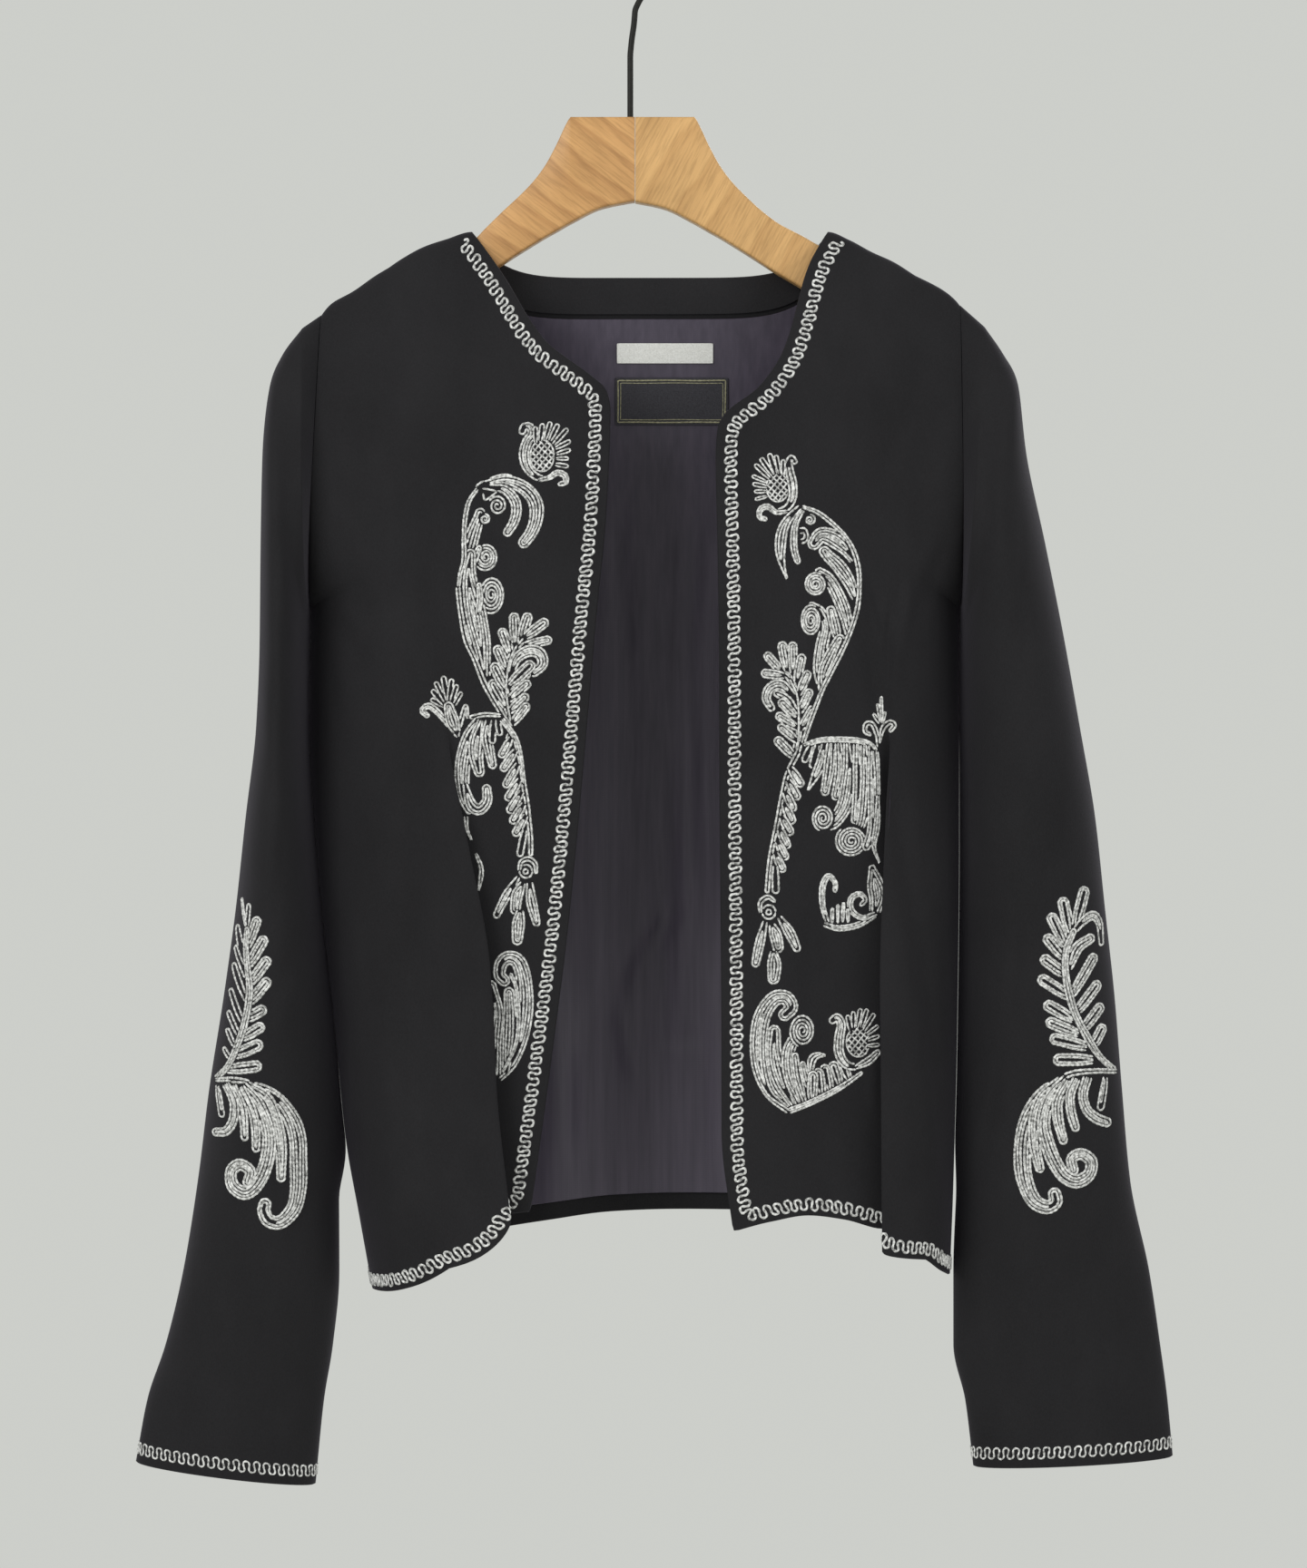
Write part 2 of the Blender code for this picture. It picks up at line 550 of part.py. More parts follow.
def build_hook(finish):
    """The wire hook: a kinked stem, then an arc round the seat at the origin."""
    centre_z = WIRE_RADIUS - HOOK_RADIUS
    arc = [(HOOK_RADIUS * math.cos(a), centre_z + HOOK_RADIUS * math.sin(a))
           for a in np.linspace(HOOK_START, HOOK_END, HOOK_ARC_POINTS)]
    route = list(HOOK_STEM) + arc
    curve = bpy.data.curves.new("hook", "CURVE")
    curve.dimensions = "3D"
    curve.bevel_depth = WIRE_RADIUS * MM
    curve.bevel_resolution = 2
    curve.use_fill_caps = True
    line = curve.splines.new("POLY")
    line.points.add(len(route) - 1)
    for point, (x, z) in zip(line.points, route):
        point.co = (x * MM, 0.0, z * MM, 1.0)
    curve.materials.append(finish)
    made = bpy.data.objects.new("hook", curve)
    bpy.context.scene.collection.objects.link(made)


def build_jacket():
    for old in list(bpy.data.objects):
        bpy.data.objects.remove(old, do_unlink=True)
    velvet = material("black velvet", (0.012, 0.011, 0.014), 0.9)
    build_back(velvet, material("dark lining", (0.033, 0.028, 0.038), 0.5))
    for side in ("left", "right"):
        build_front(side, velvet)
        build_sleeve(side, velvet)
    build_label("label_white", WHITE_LABEL, material("white label", (0.78, 0.78, 0.75), 0.7))
    build_label("label_black", BLACK_LABEL, material("black label", (0.035, 0.033, 0.04), 0.6))

    wood = material("pale wood", (0.62, 0.40, 0.19), 0.5)
    build_hanger("left", wood)
    build_hanger("right", wood)
    build_hook(material("black wire", (0.02, 0.02, 0.02), 0.4, metallic=0.6))


build_jacket()
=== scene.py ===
"""Looks of the embroidered velvet jacket on its wooden hanger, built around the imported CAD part.

Tables are in millimetres from the hook's seat, the highest point inside the hook: +X is right, +Z is up and
the jacket's front faces -Y. "left" and "right" are as seen from the front. The cloth's tables and formulas
are those of the part's source, drawn here on a finer grid with more creases. Only the front edges, the right
front's fold and the way the sleeves lie against the body differ by a few millimetres, to follow the photo.
"""
import json
import math

import bmesh
import bpy
import numpy as np
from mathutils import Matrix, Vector

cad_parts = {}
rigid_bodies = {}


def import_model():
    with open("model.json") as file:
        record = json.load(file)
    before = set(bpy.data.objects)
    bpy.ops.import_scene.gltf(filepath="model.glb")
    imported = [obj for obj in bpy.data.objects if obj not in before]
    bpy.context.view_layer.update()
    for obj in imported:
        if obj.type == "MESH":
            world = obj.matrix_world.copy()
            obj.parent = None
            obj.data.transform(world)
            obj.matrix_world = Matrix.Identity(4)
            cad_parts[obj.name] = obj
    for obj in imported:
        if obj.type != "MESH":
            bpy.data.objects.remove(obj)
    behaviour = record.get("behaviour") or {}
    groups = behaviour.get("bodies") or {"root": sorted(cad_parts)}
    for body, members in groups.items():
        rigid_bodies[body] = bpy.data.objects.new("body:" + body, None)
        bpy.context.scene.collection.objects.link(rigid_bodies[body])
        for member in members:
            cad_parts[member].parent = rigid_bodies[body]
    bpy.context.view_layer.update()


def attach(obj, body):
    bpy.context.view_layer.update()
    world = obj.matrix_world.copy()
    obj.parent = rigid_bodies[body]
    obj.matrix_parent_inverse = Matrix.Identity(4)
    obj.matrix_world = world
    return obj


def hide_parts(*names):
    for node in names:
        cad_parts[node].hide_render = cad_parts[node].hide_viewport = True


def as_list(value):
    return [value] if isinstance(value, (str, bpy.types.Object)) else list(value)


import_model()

MM = 0.001

# Cloth thicknesses and the gap kept at every seam
VELVET = 1.8
LINING = 1.0
FACING = 1.2
LABEL = 0.6
LABEL_GAP = 0.4
SEAM = 0.3

CLOTH_LENGTH = 545.0
DEPTH_BY_DISTANCE = (
    # distance down the cloth from the shoulder ridge, depth from the hanger's plane
    (0, 0.0), (3, 3.0), (6, 5.9), (9, 8.3), (12, 9.9), (20, 12.8), (40, 18.5), (70, 26.0),
    (110, 34.0), (160, 42.0), (230, 48.0), (320, 52.0), (430, 55.0), (CLOTH_LENGTH, 57.0),
)
SIDE_ROUNDING = 48.0
HEM_BAND = 10.0
UNDERARM = -375.0
ARMHOLE_WIDEST = -292.0
SHOULDER_LINE = (
    # x, height
    (-166, -217.7), (-157.6, -211.4), (-146, -205.1), (-134.3, -195.4), (-122.7, -187.2),
    (-111, -180.9), (-99.4, -177), (-85.8, -173.1), (104.3, -173.1), (115.9, -177.5),
    (127.6, -183.8), (139.2, -189.1), (150.8, -196.4), (162.5, -203.7), (174.6, -212.4),
)
NECK_LEFT = -85.8
NECK_RIGHT = 104.3
BACK_NECK_DROP = 0.0433
SHOULDER_ROWS = (0.0, 4.0, 8.0, 14.0)
ARMHOLE_ROWS = (0.04, 0.08, 0.12, 0.16, 0.20, 0.24, 0.27, 0.292)
FACING_PROGRESS = ARMHOLE_ROWS[0]   # down the back from its neckline, where the facing ends
FACING_NECK_SHARE = 0.6     # the facing lies where the neckline drops by more than this share
FACING_PAINTED_LIGHT = 1.35     # painted light: the facing's velvet is this much lighter than the velvet outside, lifting the shade inside the neck
LINING_EASE = 1.0           # how far the lining hangs loose inside the velvet
LINING_PUSH = 0.8           # share of the lining's own creases that it takes up

SIDES = {
    "left": {
        "inward": 1,
        "side_line": (
            # height, x
            (-217.7, -166), (-290, -168.6), (-375, -171.7), (-437, -172.4), (-520, -167.3),
            (-594, -159.5), (-658, -153.2), (-699, -146), (-736.7, -139.2),
        ),
        "front_edge": (
            # height, x
            (-173.1, -85.8), (-195.7, -70), (-232.8, -46.5), (-252, -22), (-259, -14.5),
            (-270, -12), (-323, -14), (-380, -19.3), (-437.5, -24.3), (-494.7, -29.4),
            (-551.8, -35.2), (-609, -42.6), (-666, -50.2), (-693, -54),
        ),
        "front_hem": (
            # share from front edge to side, height
            (0, -693), (0.18, -694), (0.42, -695), (0.54, -698), (0.66, -721),
            (0.78, -731), (0.90, -735.5), (1, -736.7),
        ),
        "fold_span": (0.18, 0.66),
        "fold": (
            # progress down the panel, centre x, half width, lean, recede
            (0.00, -112, 18, 0.00, 0), (0.25, -108, 18, 0.00, 0),
            (0.40, -104, 16, 0.00, 1), (0.48, -99, 14, 0.15, 4),
            (0.61, -90.5, 12, 0.55, 9.5), (0.74, -84.5, 13, 0.85, 14),
            (0.84, -85.5, 14, 1.00, 17), (1.00, -79.5, 16, 1.00, 18),
        ),
    },
    "right": {
        "inward": -1,
        "side_line": (
            (-212.4, 174.6), (-375, 174.6), (-500, 174.6), (-600, 173.5), (-680, 171.5),
            (-729.4, 169.6),
        ),
        "front_edge": (
            (-173.1, 104.3), (-192.5, 94), (-237.8, 80.5), (-258, 67), (-272, 49.5),
            (-280, 45.5), (-294, 44.5), (-351.8, 45.5), (-409, 46.2), (-466, 46.4),
            (-523, 46.9), (-580.7, 47.4), (-652.2, 47.6), (-703.3, 53.5),
        ),
        "front_hem": (
            (0, -703.3), (0.10, -698), (0.20, -694.7), (0.30, -697), (0.40, -702),
            (0.50, -703.5), (0.70, -713), (0.80, -718), (0.90, -725), (1, -729.4),
        ),
        "fold_span": (0.40, 0.80),
        "fold": (
            (0.00, 138, 13, 0.00, 0), (0.30, 138, 13, 0.00, 0),
            (0.38, 136, 12.5, 0.00, 1), (0.47, 135, 12, 0.15, 4),
            (0.56, 138.5, 11, 0.65, 11), (0.75, 141.5, 11.5, 1.00, 16),
            (1.00, 143, 12, 1.00, 17),
        ),
    },
}
BACK_HEM = (
    # x at the hem, height
    (-139.2, -736.7), (-110, -723), (-64, -708), (-10, -700.5), (45, -699),
    (100, -698.5), (140, -709), (169.6, -729.4),
)

# Soft waves of the solids: top x, top height, bottom x, bottom height, half width, how far each stands out
BACK_WAVES = (
    (-95, -420, -88, -760, 22, 8),
    (-48, -520, -40, -760, 17, -6),
    (4, -330, 10, -760, 24, 5),
    (62, -500, 58, -760, 18, -6),
    (112, -400, 108, -760, 22, 8),
)
FRONT_WAVES = (
    (-128, -300, -118, -760, 14, 3),
    (120, -356, 133, -440, 6, -3),
    (78, -430, 84, -760, 16, 3),
)

# Finer creases: start x, start height, end x, end height, half width, how far each stands out
FRONT_CREASES = {
    "left": (
        (-150, -236, -128, -330, 5, 0.9), (-156, -300, -137, -350, 4, -0.8),
        (-160, -360, -128, -420, 5.5, 1), (-164, -392, -150, -470, 4, -0.9),
        (-110, -330, -104, -420, 5, -0.8), (-150, -520, -138, -610, 6, 1.1),
        (-121, -560, -116, -700, 4.5, -1), (-139, -640, -130, -720, 5, 0.8),
        (-62, -440, -66, -560, 6, 0.5), (-46, -560, -56, -660, 6, -0.6),
    ),
    "right": (
        (122, -352, 134, -404, 3, -1.5), (138, -372, 132, -424, 2.6, -1.5),
        (118, -330, 126, -372, 4, 0.9), (146, -352, 137, -418, 4, 1),
        (160, -236, 140, -322, 5, 0.9), (166, -330, 152, -392, 4, -0.9),
        (130, -592, 127, -650, 3, 1.1), (160, -470, 154, -600, 6, -1),
        (150, -560, 156, -700, 5, 1), (92, -520, 86, -660, 6, -0.6),
        (66, -330, 74, -430, 7, 0.5),
    ),
}
BACK_CREASES = (
    (-140, -236, -108, -318, 5, 0.9), (-150, -330, -118, -402, 5.5, -1),
    (-158, -392, -120, -470, 6, 1.2), (-120, -520, -116, -660, 5, -1),
    (-70, -330, -66, -440, 6, -0.7), (-24, -560, -20, -690, 6, 1),
    (30, -420, 36, -560, 6, -0.8), (86, -560, 84, -690, 5, 1),
    (150, -236, 122, -320, 5, 0.9), (158, -340, 126, -410, 5.5, -1),
    (164, -400, 132, -480, 6, 1.2), (140, -560, 142, -690, 5, -1),
    (-30, -196, 44, -204, 6, -0.6),
)
# The same for the lining, whose soft wrinkles are shallower and closer together
LINING_CREASES = (
    (-2, -290, -8, -430, 5, 0.8), (8, -330, 2, -560, 4, -0.8),
    (16, -460, 10, -690, 5, 0.9), (24, -300, 22, -470, 4.5, 0.7),
    (31, -400, 30, -640, 4, -0.9), (40, -310, 38, -520, 4.5, 0.8),
    (-14, -470, -22, -690, 5, -0.8), (-30, -540, -36, -700, 5, 0.9),
    (44, -540, 46, -690, 4, -0.8), (0, -520, 26, -548, 5, 0.5),
    (-6, -400, 30, -384, 5, -0.5), (6, -610, 40, -600, 5, 0.5),
    (30, -530, -6, -592, 6, 1.8), (-4, -580, -1, -640, 6, 1.6),
)

SLEEVE_HEAD_ROWS = 5
SLEEVE_GAP = 0.2            # between a sleeve and the body's side, where they press together
SLEEVE_LEAVES_BODY = (-655.0, -690.0)   # heights from which, and to which, a sleeve parts from the side
SLEEVES = {
    "left": (
        # outer x, outer height, inner x, inner height, half depth
        (-176, -224.5, -173.2, -379, 50), (-186.5, -238.5, -173.6, -384, 55),
        (-193, -254, -173.8, -389, 59), (-196.9, -290, -174, -396, 64),
        (-197.9, -343, -174, -408, 66), (-198.4, -392, -173.9, -424, 66),
        (-200.3, -437, -173.3, -444, 65), (-206.1, -485.5, -171, -485.5, 63),
        (-211.5, -534, -167.8, -534, 61), (-218.3, -582.5, -162.4, -582.5, 58),
        (-226, -631, -157.6, -631, 53), (-231.6, -676, -157, -676, 48),
        (-240, -728, -156.7, -728, 41), (-249.3, -766.8, -160, -766.8, 34),
        (-259, -795.9, -164.9, -797.5, 29), (-265.3, -829.5, -169.3, -841.5, 26),
    ),
    "right": (
        (187.7, -223.8, 176, -379, 50), (197.5, -238, 176.2, -384, 55),
        (205.2, -253, 176.4, -389, 58), (210, -291.5, 176.4, -398, 60),
        (220.2, -340, 176.2, -412, 60), (229.9, -388.5, 175.9, -430, 59),
        (238.6, -437, 175.6, -452, 57), (246.9, -485.5, 175.4, -490, 54),
        (252.2, -534, 175.4, -534, 51), (257.5, -582.5, 175.2, -582.5, 48),
        (261.4, -631, 174.4, -631, 44), (265.8, -679.5, 173.2, -679.5, 40),
        (276, -728, 171.4, -728, 31), (281.8, -766.8, 171.4, -766.8, 27),
        (285.7, -795.9, 177.8, -797.5, 25), (288.6, -826.5, 182, -832, 24),
    ),
}
SLEEVE_CREASES = {
    # start x, start height, end x, end height, half width, how far each stands out; front and back alike
    "left": (
        (-186, -330, -178, -420, 4, -1), (-192, -400, -182, -500, 5, 1),
        (-176, -470, -196, -560, 5, -1.1), (-168, -540, -190, -610, 5, 1),
        (-200, -640, -172, -700, 6, -0.9), (-190, -730, -176, -800, 6, 0.8),
    ),
    "right": (
        (205, -320, 207, -420, 3, -1.4), (196, -290, 190, -380, 5, 0.9),
        (205, -522, 195, -600, 3.2, -1.3), (195, -600, 177, -700, 3.2, -1.2),
        (232, -420, 222, -520, 6, 0.9), (188, -480, 184, -560, 4, 0.9),
        (236, -700, 216, -780, 6, 0.8), (250, -620, 240, -700, 6, -0.8),
    ),
}

# Labels sewn to the lining: middle x, middle height, width, height
WHITE_LABEL = (17.4, -235.0, 51.5, 10.4)
BLACK_LABEL = (21.0, -260.6, 60.6, 25.0)
LABEL_LINES = ((1.3, 0.42), (2.7, 0.24))    # inset from the label's edge, half width

HANGER_HALF_THICKNESS = 6.5
HANGER_BEVEL = 2.0
BEVEL_POINTS = 5
HANGER_SECTIONS = 110
HANGER_SEAM_X = 1.4
HANGER_TOP = -112.0
HANGER_OUTLINE = (
    # reach from the middle, top of left arm, top of right arm, bottom of both
    (0, -112, -112, -157.1), (16.5, -112, -112, -160.6), (33, -112, -112, -168.6),
    (35, -115, -115, -169.7), (40.5, -126.6, -126.6, -172.9), (46.8, -138.2, -138.2, -176.4),
    (53, -146.5, -146.5, -180.2), (60.1, -153.9, -153.9, -184.6), (68.5, -161.7, -161.7, -190),
    (79, -172, -169.5, -196.6), (84, -177, -172.1, -199.5), (90, -179.6, -175.2, -203),
    (101, -183.6, -181.2, -209.5), (120, -191.9, -188, -219.5), (140, -204.4, -193.4, -230),
    (154, -212.9, -201.4, -238), (160, -219, -207.6, -236), (162.5, -224, -213, -229),
)

WIRE_RADIUS = 1.6
WIRE_SIDES = 16
HOOK_SECTIONS = 200
HOOK_RADIUS = 24.0
HOOK_START = math.radians(-62.0)
HOOK_END = math.radians(205.0)
HOOK_STEM = (
    # x, height
    (-1.2, HANGER_TOP + SEAM), (-1.2, -95.0), (-1.2, -78.0), (-0.4, -70.0), (0.8, -62.0),
    (1.4, -54.0), (4.6, -47.6),
)

# Embroidery thread: half widths, height and lift as shares of them, and how its rows and stitches are spaced
THREAD_HALF_WIDTH = 0.62
FINE_HALF_WIDTH = 0.52
PLUME_PITCH = 1.5           # between the rows of a filled shape
LOBE_PITCH = 1.4            # the same in the leaves' lobes, whose middle stays open
THREAD_HEIGHT = 0.9
THREAD_LIFT = 0.12
THREAD_STEP = 0.85
THREAD_END = 0.15           # how thin a row's ends are
THREAD_WOBBLE = 0.10        # how far rows stray, and how fast: rate by step, shift from row to row
WOBBLE_RATE = 0.09
WOBBLE_SHIFT = 2.3
STITCH = 2.6
STITCH_SWELL = 0.18         # how much thicker a stitch is at its middle
NARROWEST_ROW = 0.25        # in pitches: the least half width of a band's row and of its middle one
NARROWEST_MIDDLE = 0.2
ROW_ENDS = 0.1              # in pitches: the half width of the band at which a row starts and ends
TIP_POINTS = 11
SPIRAL_POINTS = 60          # in each turn
SPIRAL_DEPTH = 0.9          # how far a spiral's row winds in, as a share of its radii
CURVE_STEP = 0.5
ROW_STEP = 0.4
PATH_STEP = 1.0
PLACE_ROUNDS = 6            # rounds in which places on the cloth are found
BACK_PLACE_ROUNDS = 4
LOOP_BASE = 0.7             # a loop's width at its base, as a share of its width
LATTICE_SLANTS = (math.radians(52), math.radians(-42))
LATTICE_PITCH = 2.4
LATTICE_REACH = 12
THREAD_SECTION = ((-1.0, -0.3), (-0.72, 0.55), (0.0, 1.0), (0.72, 0.55), (1.0, -0.3))
BORDER_HALF_WIDTH = 0.67
CUFF_HALF_WIDTH = 0.52
FRONT_THREAD = 0.92         # the rows' width on the fronts' and the sleeves' sprays, as a share
SLEEVE_THREAD = 1.06
HEM_INSET = 5.4
BORDER_STEP = 0.6
BORDER_PERIOD = 5.5
BORDER_POINTS = 36          # in each period
BORDER_SWING = 2.9
BORDER_OVERHANG = 0.15      # how far its bends bulge along the path, as a share of the period
BORDER_SLANT = 0.10         # how far its strokes slant, as a share of the period
BORDER_INSET = 7.5
CORNER_SOFTENING = 12       # times that the borders' paths are softened
# The borders' unevenness: size, rate per millimetre and start of each slow wave
LOOSE_PHASE = ((0.35, 0.271, 0.0), (0.4, 0.083, 2.0))
LOOSE_SWING = ((0.08, 0.431, 1.0),)
LOOSE_SLANT = ((0.8, 0.197, 0.0),)
INSIDE_HEIGHT = -450.0      # a height well inside the panels, towards which the borders are set in
BORDER_NECK_SHARE = 0.3     # the neck's border lies where the neckline drops by more than this share
SLEEVE_SPREAD = 0.40        # the least share of the cloth's length that the sleeves' sprays take up

# Sprays, in x and height as seen from the front. Each line has a kind and its shapes, and each shape its
# sizes and then its places. A later shape lies over the earlier ones.
SIZE_COUNTS = {
    "plume": 3,     # widths at base, middle and tip; places along the middle
    "lobe": 2,      # widths at base, and at middle and tip; base and tip
    "loop": 1,      # width; base and tip
    "line": 0,      # places only
    "spiral": 5,    # half width, half height, turns, outer end's angle in degrees, way round; centre
    "ring": 1,      # radius; centre
    "lattice": 2,   # half width, half height; centre
}
LEFT_SPRAY = (
    ("lattice", (6.8, 9, -47.5, -295)),
    ("plume", (4, 6, 4.5, -45.5, -307.5, -51, -306, -55.5, -301, -57, -294, -55.5, -287.5, -53, -283.5,
        -54, -279.5, -57, -279.5, -58, -282), (2.7, 3.8, 3.2, -49.5, -308, -43.5, -306.5, -39.5, -304,
        -35.5, -305.5, -35, -309, -38, -310)),
    ("loop", (3.2, -51, -288, -51, -280.5), (3.2, -48.5, -287, -47.5, -279),
        (3.2, -46, -286.5, -43.5, -278), (3.2, -43.5, -287, -39.5, -279), (3.2, -41.5, -289, -35, -281.5),
        (2.9, -40.5, -291, -33.5, -287.5), (2.9, -40, -294, -33.5, -292),
        (2.7, -40, -296.5, -34.5, -296.5), (2.7, -40.5, -299.5, -34.5, -300.5)),
    ("line", (-83, -313.5, -81, -310, -75, -307, -67.5, -305, -60.5, -306.5, -55, -308.5)),
    ("plume", (4.5, 8.2, 6.7, -77.5, -310, -66.5, -308.5, -56.5, -312.5, -51, -319.5, -50.5, -328, -53,
        -335.5, -57, -341), (3.5, 6.3, 5.3, -75.5, -311.5, -67, -313, -62, -318.5, -61, -324.5, -62.5,
        -330.5, -65.5, -335.5)),
    ("spiral", (5.3, 5.8, 2.4, 150, -1, -71, -321.5)),
    ("line", (-79, -312.5, -75.5, -313, -71.5, -314, -75, -317, -77.5, -318.5, -78.5, -315)),
    ("plume", (4.5, 8.2, 6.2, -88.5, -355.5, -86, -345, -83.5, -336, -81, -329, -80, -325.5)),
    ("spiral", (3.3, 3.3, 1.9, 90, -1, -77.5, -328.5), (6.8, 8, 4.2, 200, 1, -77, -348.5)),
    ("plume", (4, 4.9, 3.7, -85.5, -364.5, -85, -356, -82.5, -348.5, -80.5, -344)),
    ("spiral", (7.3, 10.7, 4.6, 200, 1, -74, -368.5)),
    ("plume", (7.2, 13.1, 5.9, -77.5, -411.5, -79.5, -395, -82, -382.5, -84.5, -370.5, -86, -358.5, -85,
        -347), (3.2, 4.1, 3.5, -81, -379, -80, -370.5, -80.5, -363.5),
        (4.5, 8.2, 6.7, -64.5, -438.5, -66.5, -425, -67, -410.5, -64, -398.5, -57.5, -390)),
    ("lobe", (3.8, 5.2, -66.5, -435, -70.5, -424), (4.4, 6, -66.5, -427.5, -73, -415.5),
        (4.5, 6.3, -66.5, -418, -72, -407), (4.2, 5.8, -66, -407.5, -70.5, -397.5),
        (4.4, 6, -64, -399, -68, -388.5), (4.4, 6, -61.5, -394, -62, -380.5),
        (4.4, 6, -58.5, -391, -55, -380.5), (4.4, 6, -56, -390.5, -46.5, -383.5),
        (4, 5.5, -56.5, -395, -44.5, -392.5)),
    ("plume", (4, 6.8, 5.3, -64, -410.5, -60.5, -402, -54, -398, -48.5, -399.5, -47, -405, -51.5, -409.5)),
    ("lobe", (4.2, 5.8, -65, -417.5, -55.5, -410), (4, 5.5, -65, -424, -55.5, -415.5),
        (4, 5.5, -64.5, -430, -56.5, -422.5), (4, 5.5, -63, -436.5, -56, -427.5),
        (4.9, 6.8, -64.5, -416, -54, -406)),
    ("line", (-63, -440, -65.5, -426.5, -66, -414.5, -64.5, -403.5, -60.5, -395)),
    ("plume", (2.7, 3.5, 3.5, -64.5, -441, -66, -446, -68, -452.5),
        (2.7, 3, 2.7, -81.5, -312.5, -86, -319.5, -88, -329, -88.5, -339, -88.5, -350, -90.5, -358, -91.5,
        -367), (3.2, 3.4, 3.3, -91.5, -364.5, -90, -379, -87.5, -391.5, -83, -402, -78.5, -413.5, -72,
        -425.5, -67.5, -433, -62.5, -441, -58.5, -453), (2.7, 4.1, 3.5, -91.5, -443, -97, -437, -103, -430,
        -107.5, -427, -110.5, -429.5, -108, -432), (2.1, 3.3, 2.5, -91.5, -443, -90, -435, -87.5, -427,
        -86.5, -433)),
    ("loop", (3.2, -99, -427.5, -105, -424), (3.2, -99, -426.5, -104.5, -419.5),
        (3.2, -98, -425.5, -103, -415.5), (3.4, -97, -425, -99, -412.5), (3.2, -96.5, -425.5, -95, -414),
        (3.2, -95.5, -426.5, -92.5, -417), (2.9, -94.5, -428, -90, -420.5)),
    ("plume", (4.5, 8.2, 6.2, -92, -441, -94.5, -435, -96.5, -427.5),
        (2.6, 3.2, 3.2, -69, -432, -77, -431.5, -84.5, -433), (5.9, 9, 6.8, -80.5, -434.5, -85.5, -442.5,
        -88.5, -453.5, -89.5, -464, -88.5, -474.5, -85.5, -481), (3.6, 6.6, 5.6, -88, -468, -85, -478.5,
        -80.5, -481.5, -76.5, -477, -76.5, -470.5), (5.3, 8.7, 6.6, -79, -434.5, -81.5, -444, -82, -453.5,
        -80.5, -461.5), (4.4, 6.3, 5.3, -75.5, -434.5, -76.5, -442.5, -75, -450.5, -73.5, -458)),
    ("lobe", (3.3, 4.6, -73, -434.5, -73.5, -445), (2.9, 4, -71, -434, -69.5, -441)),
    ("plume", (3.2, 2.4, 1.8, -87.5, -485, -87, -492, -84.5, -498),
        (2.1, 3.3, 1.2, -82.5, -504.5, -79.5, -513.5, -81.5, -527),
        (3.8, 3.3, 3.2, -68.5, -434, -62, -443, -59, -453.5, -57, -468, -55, -481.5, -53.5, -494.5, -53.5,
        -505)),
    ("lobe", (3.5, 4.9, -63.5, -443.5, -68.5, -452.5), (3.7, 5.2, -61, -450, -67.5, -459.5),
        (3.7, 5.2, -60, -457.5, -66, -468), (3.7, 5.2, -59, -465.5, -65, -475),
        (3.7, 5.2, -58, -472, -64, -481.5), (3.7, 5.2, -57, -478.5, -62.5, -487),
        (3.7, 5.2, -56, -484.5, -61, -493.5), (3.3, 4.6, -56.5, -492, -59, -504.5)),
    ("ring", (3.5, -56, -514), (1.3, -56, -514)),
    ("plume", (2.6, 3.3, 2.6, -59.5, -513.5, -58.5, -509, -54.5, -507.5, -51, -510, -50.5, -514.5),
        (3, 5.4, 4.7, -60, -517, -66, -526.5, -71.5, -537), (3.8, 6.9, 6.2, -57.5, -520, -60.5, -526.5,
        -61.5, -534), (4.4, 7.5, 6.5, -59, -534.5, -60, -542.5, -60.5, -550),
        (4.1, 6.3, 5, -54, -520, -53, -529.5, -50.5, -541), (5.1, 9.3, 7, -70.5, -623, -63.5, -615, -58.5,
        -601.5, -56.5, -585.5, -57, -572, -60, -562, -65, -559.5, -69, -562.5, -70, -568.5, -67.5, -571.5),
        (4.5, 8.1, 6.5, -67, -620, -65, -603, -64.5, -589.5, -65, -578),
        (2.1, 2.7, 2.6, -68.5, -620, -61.5, -605.5, -60, -589.5, -61, -576, -64, -568.5),
        (5, 9, 6.8, -71.5, -621.5, -73, -603, -72, -588, -74.5, -574.5)),
)
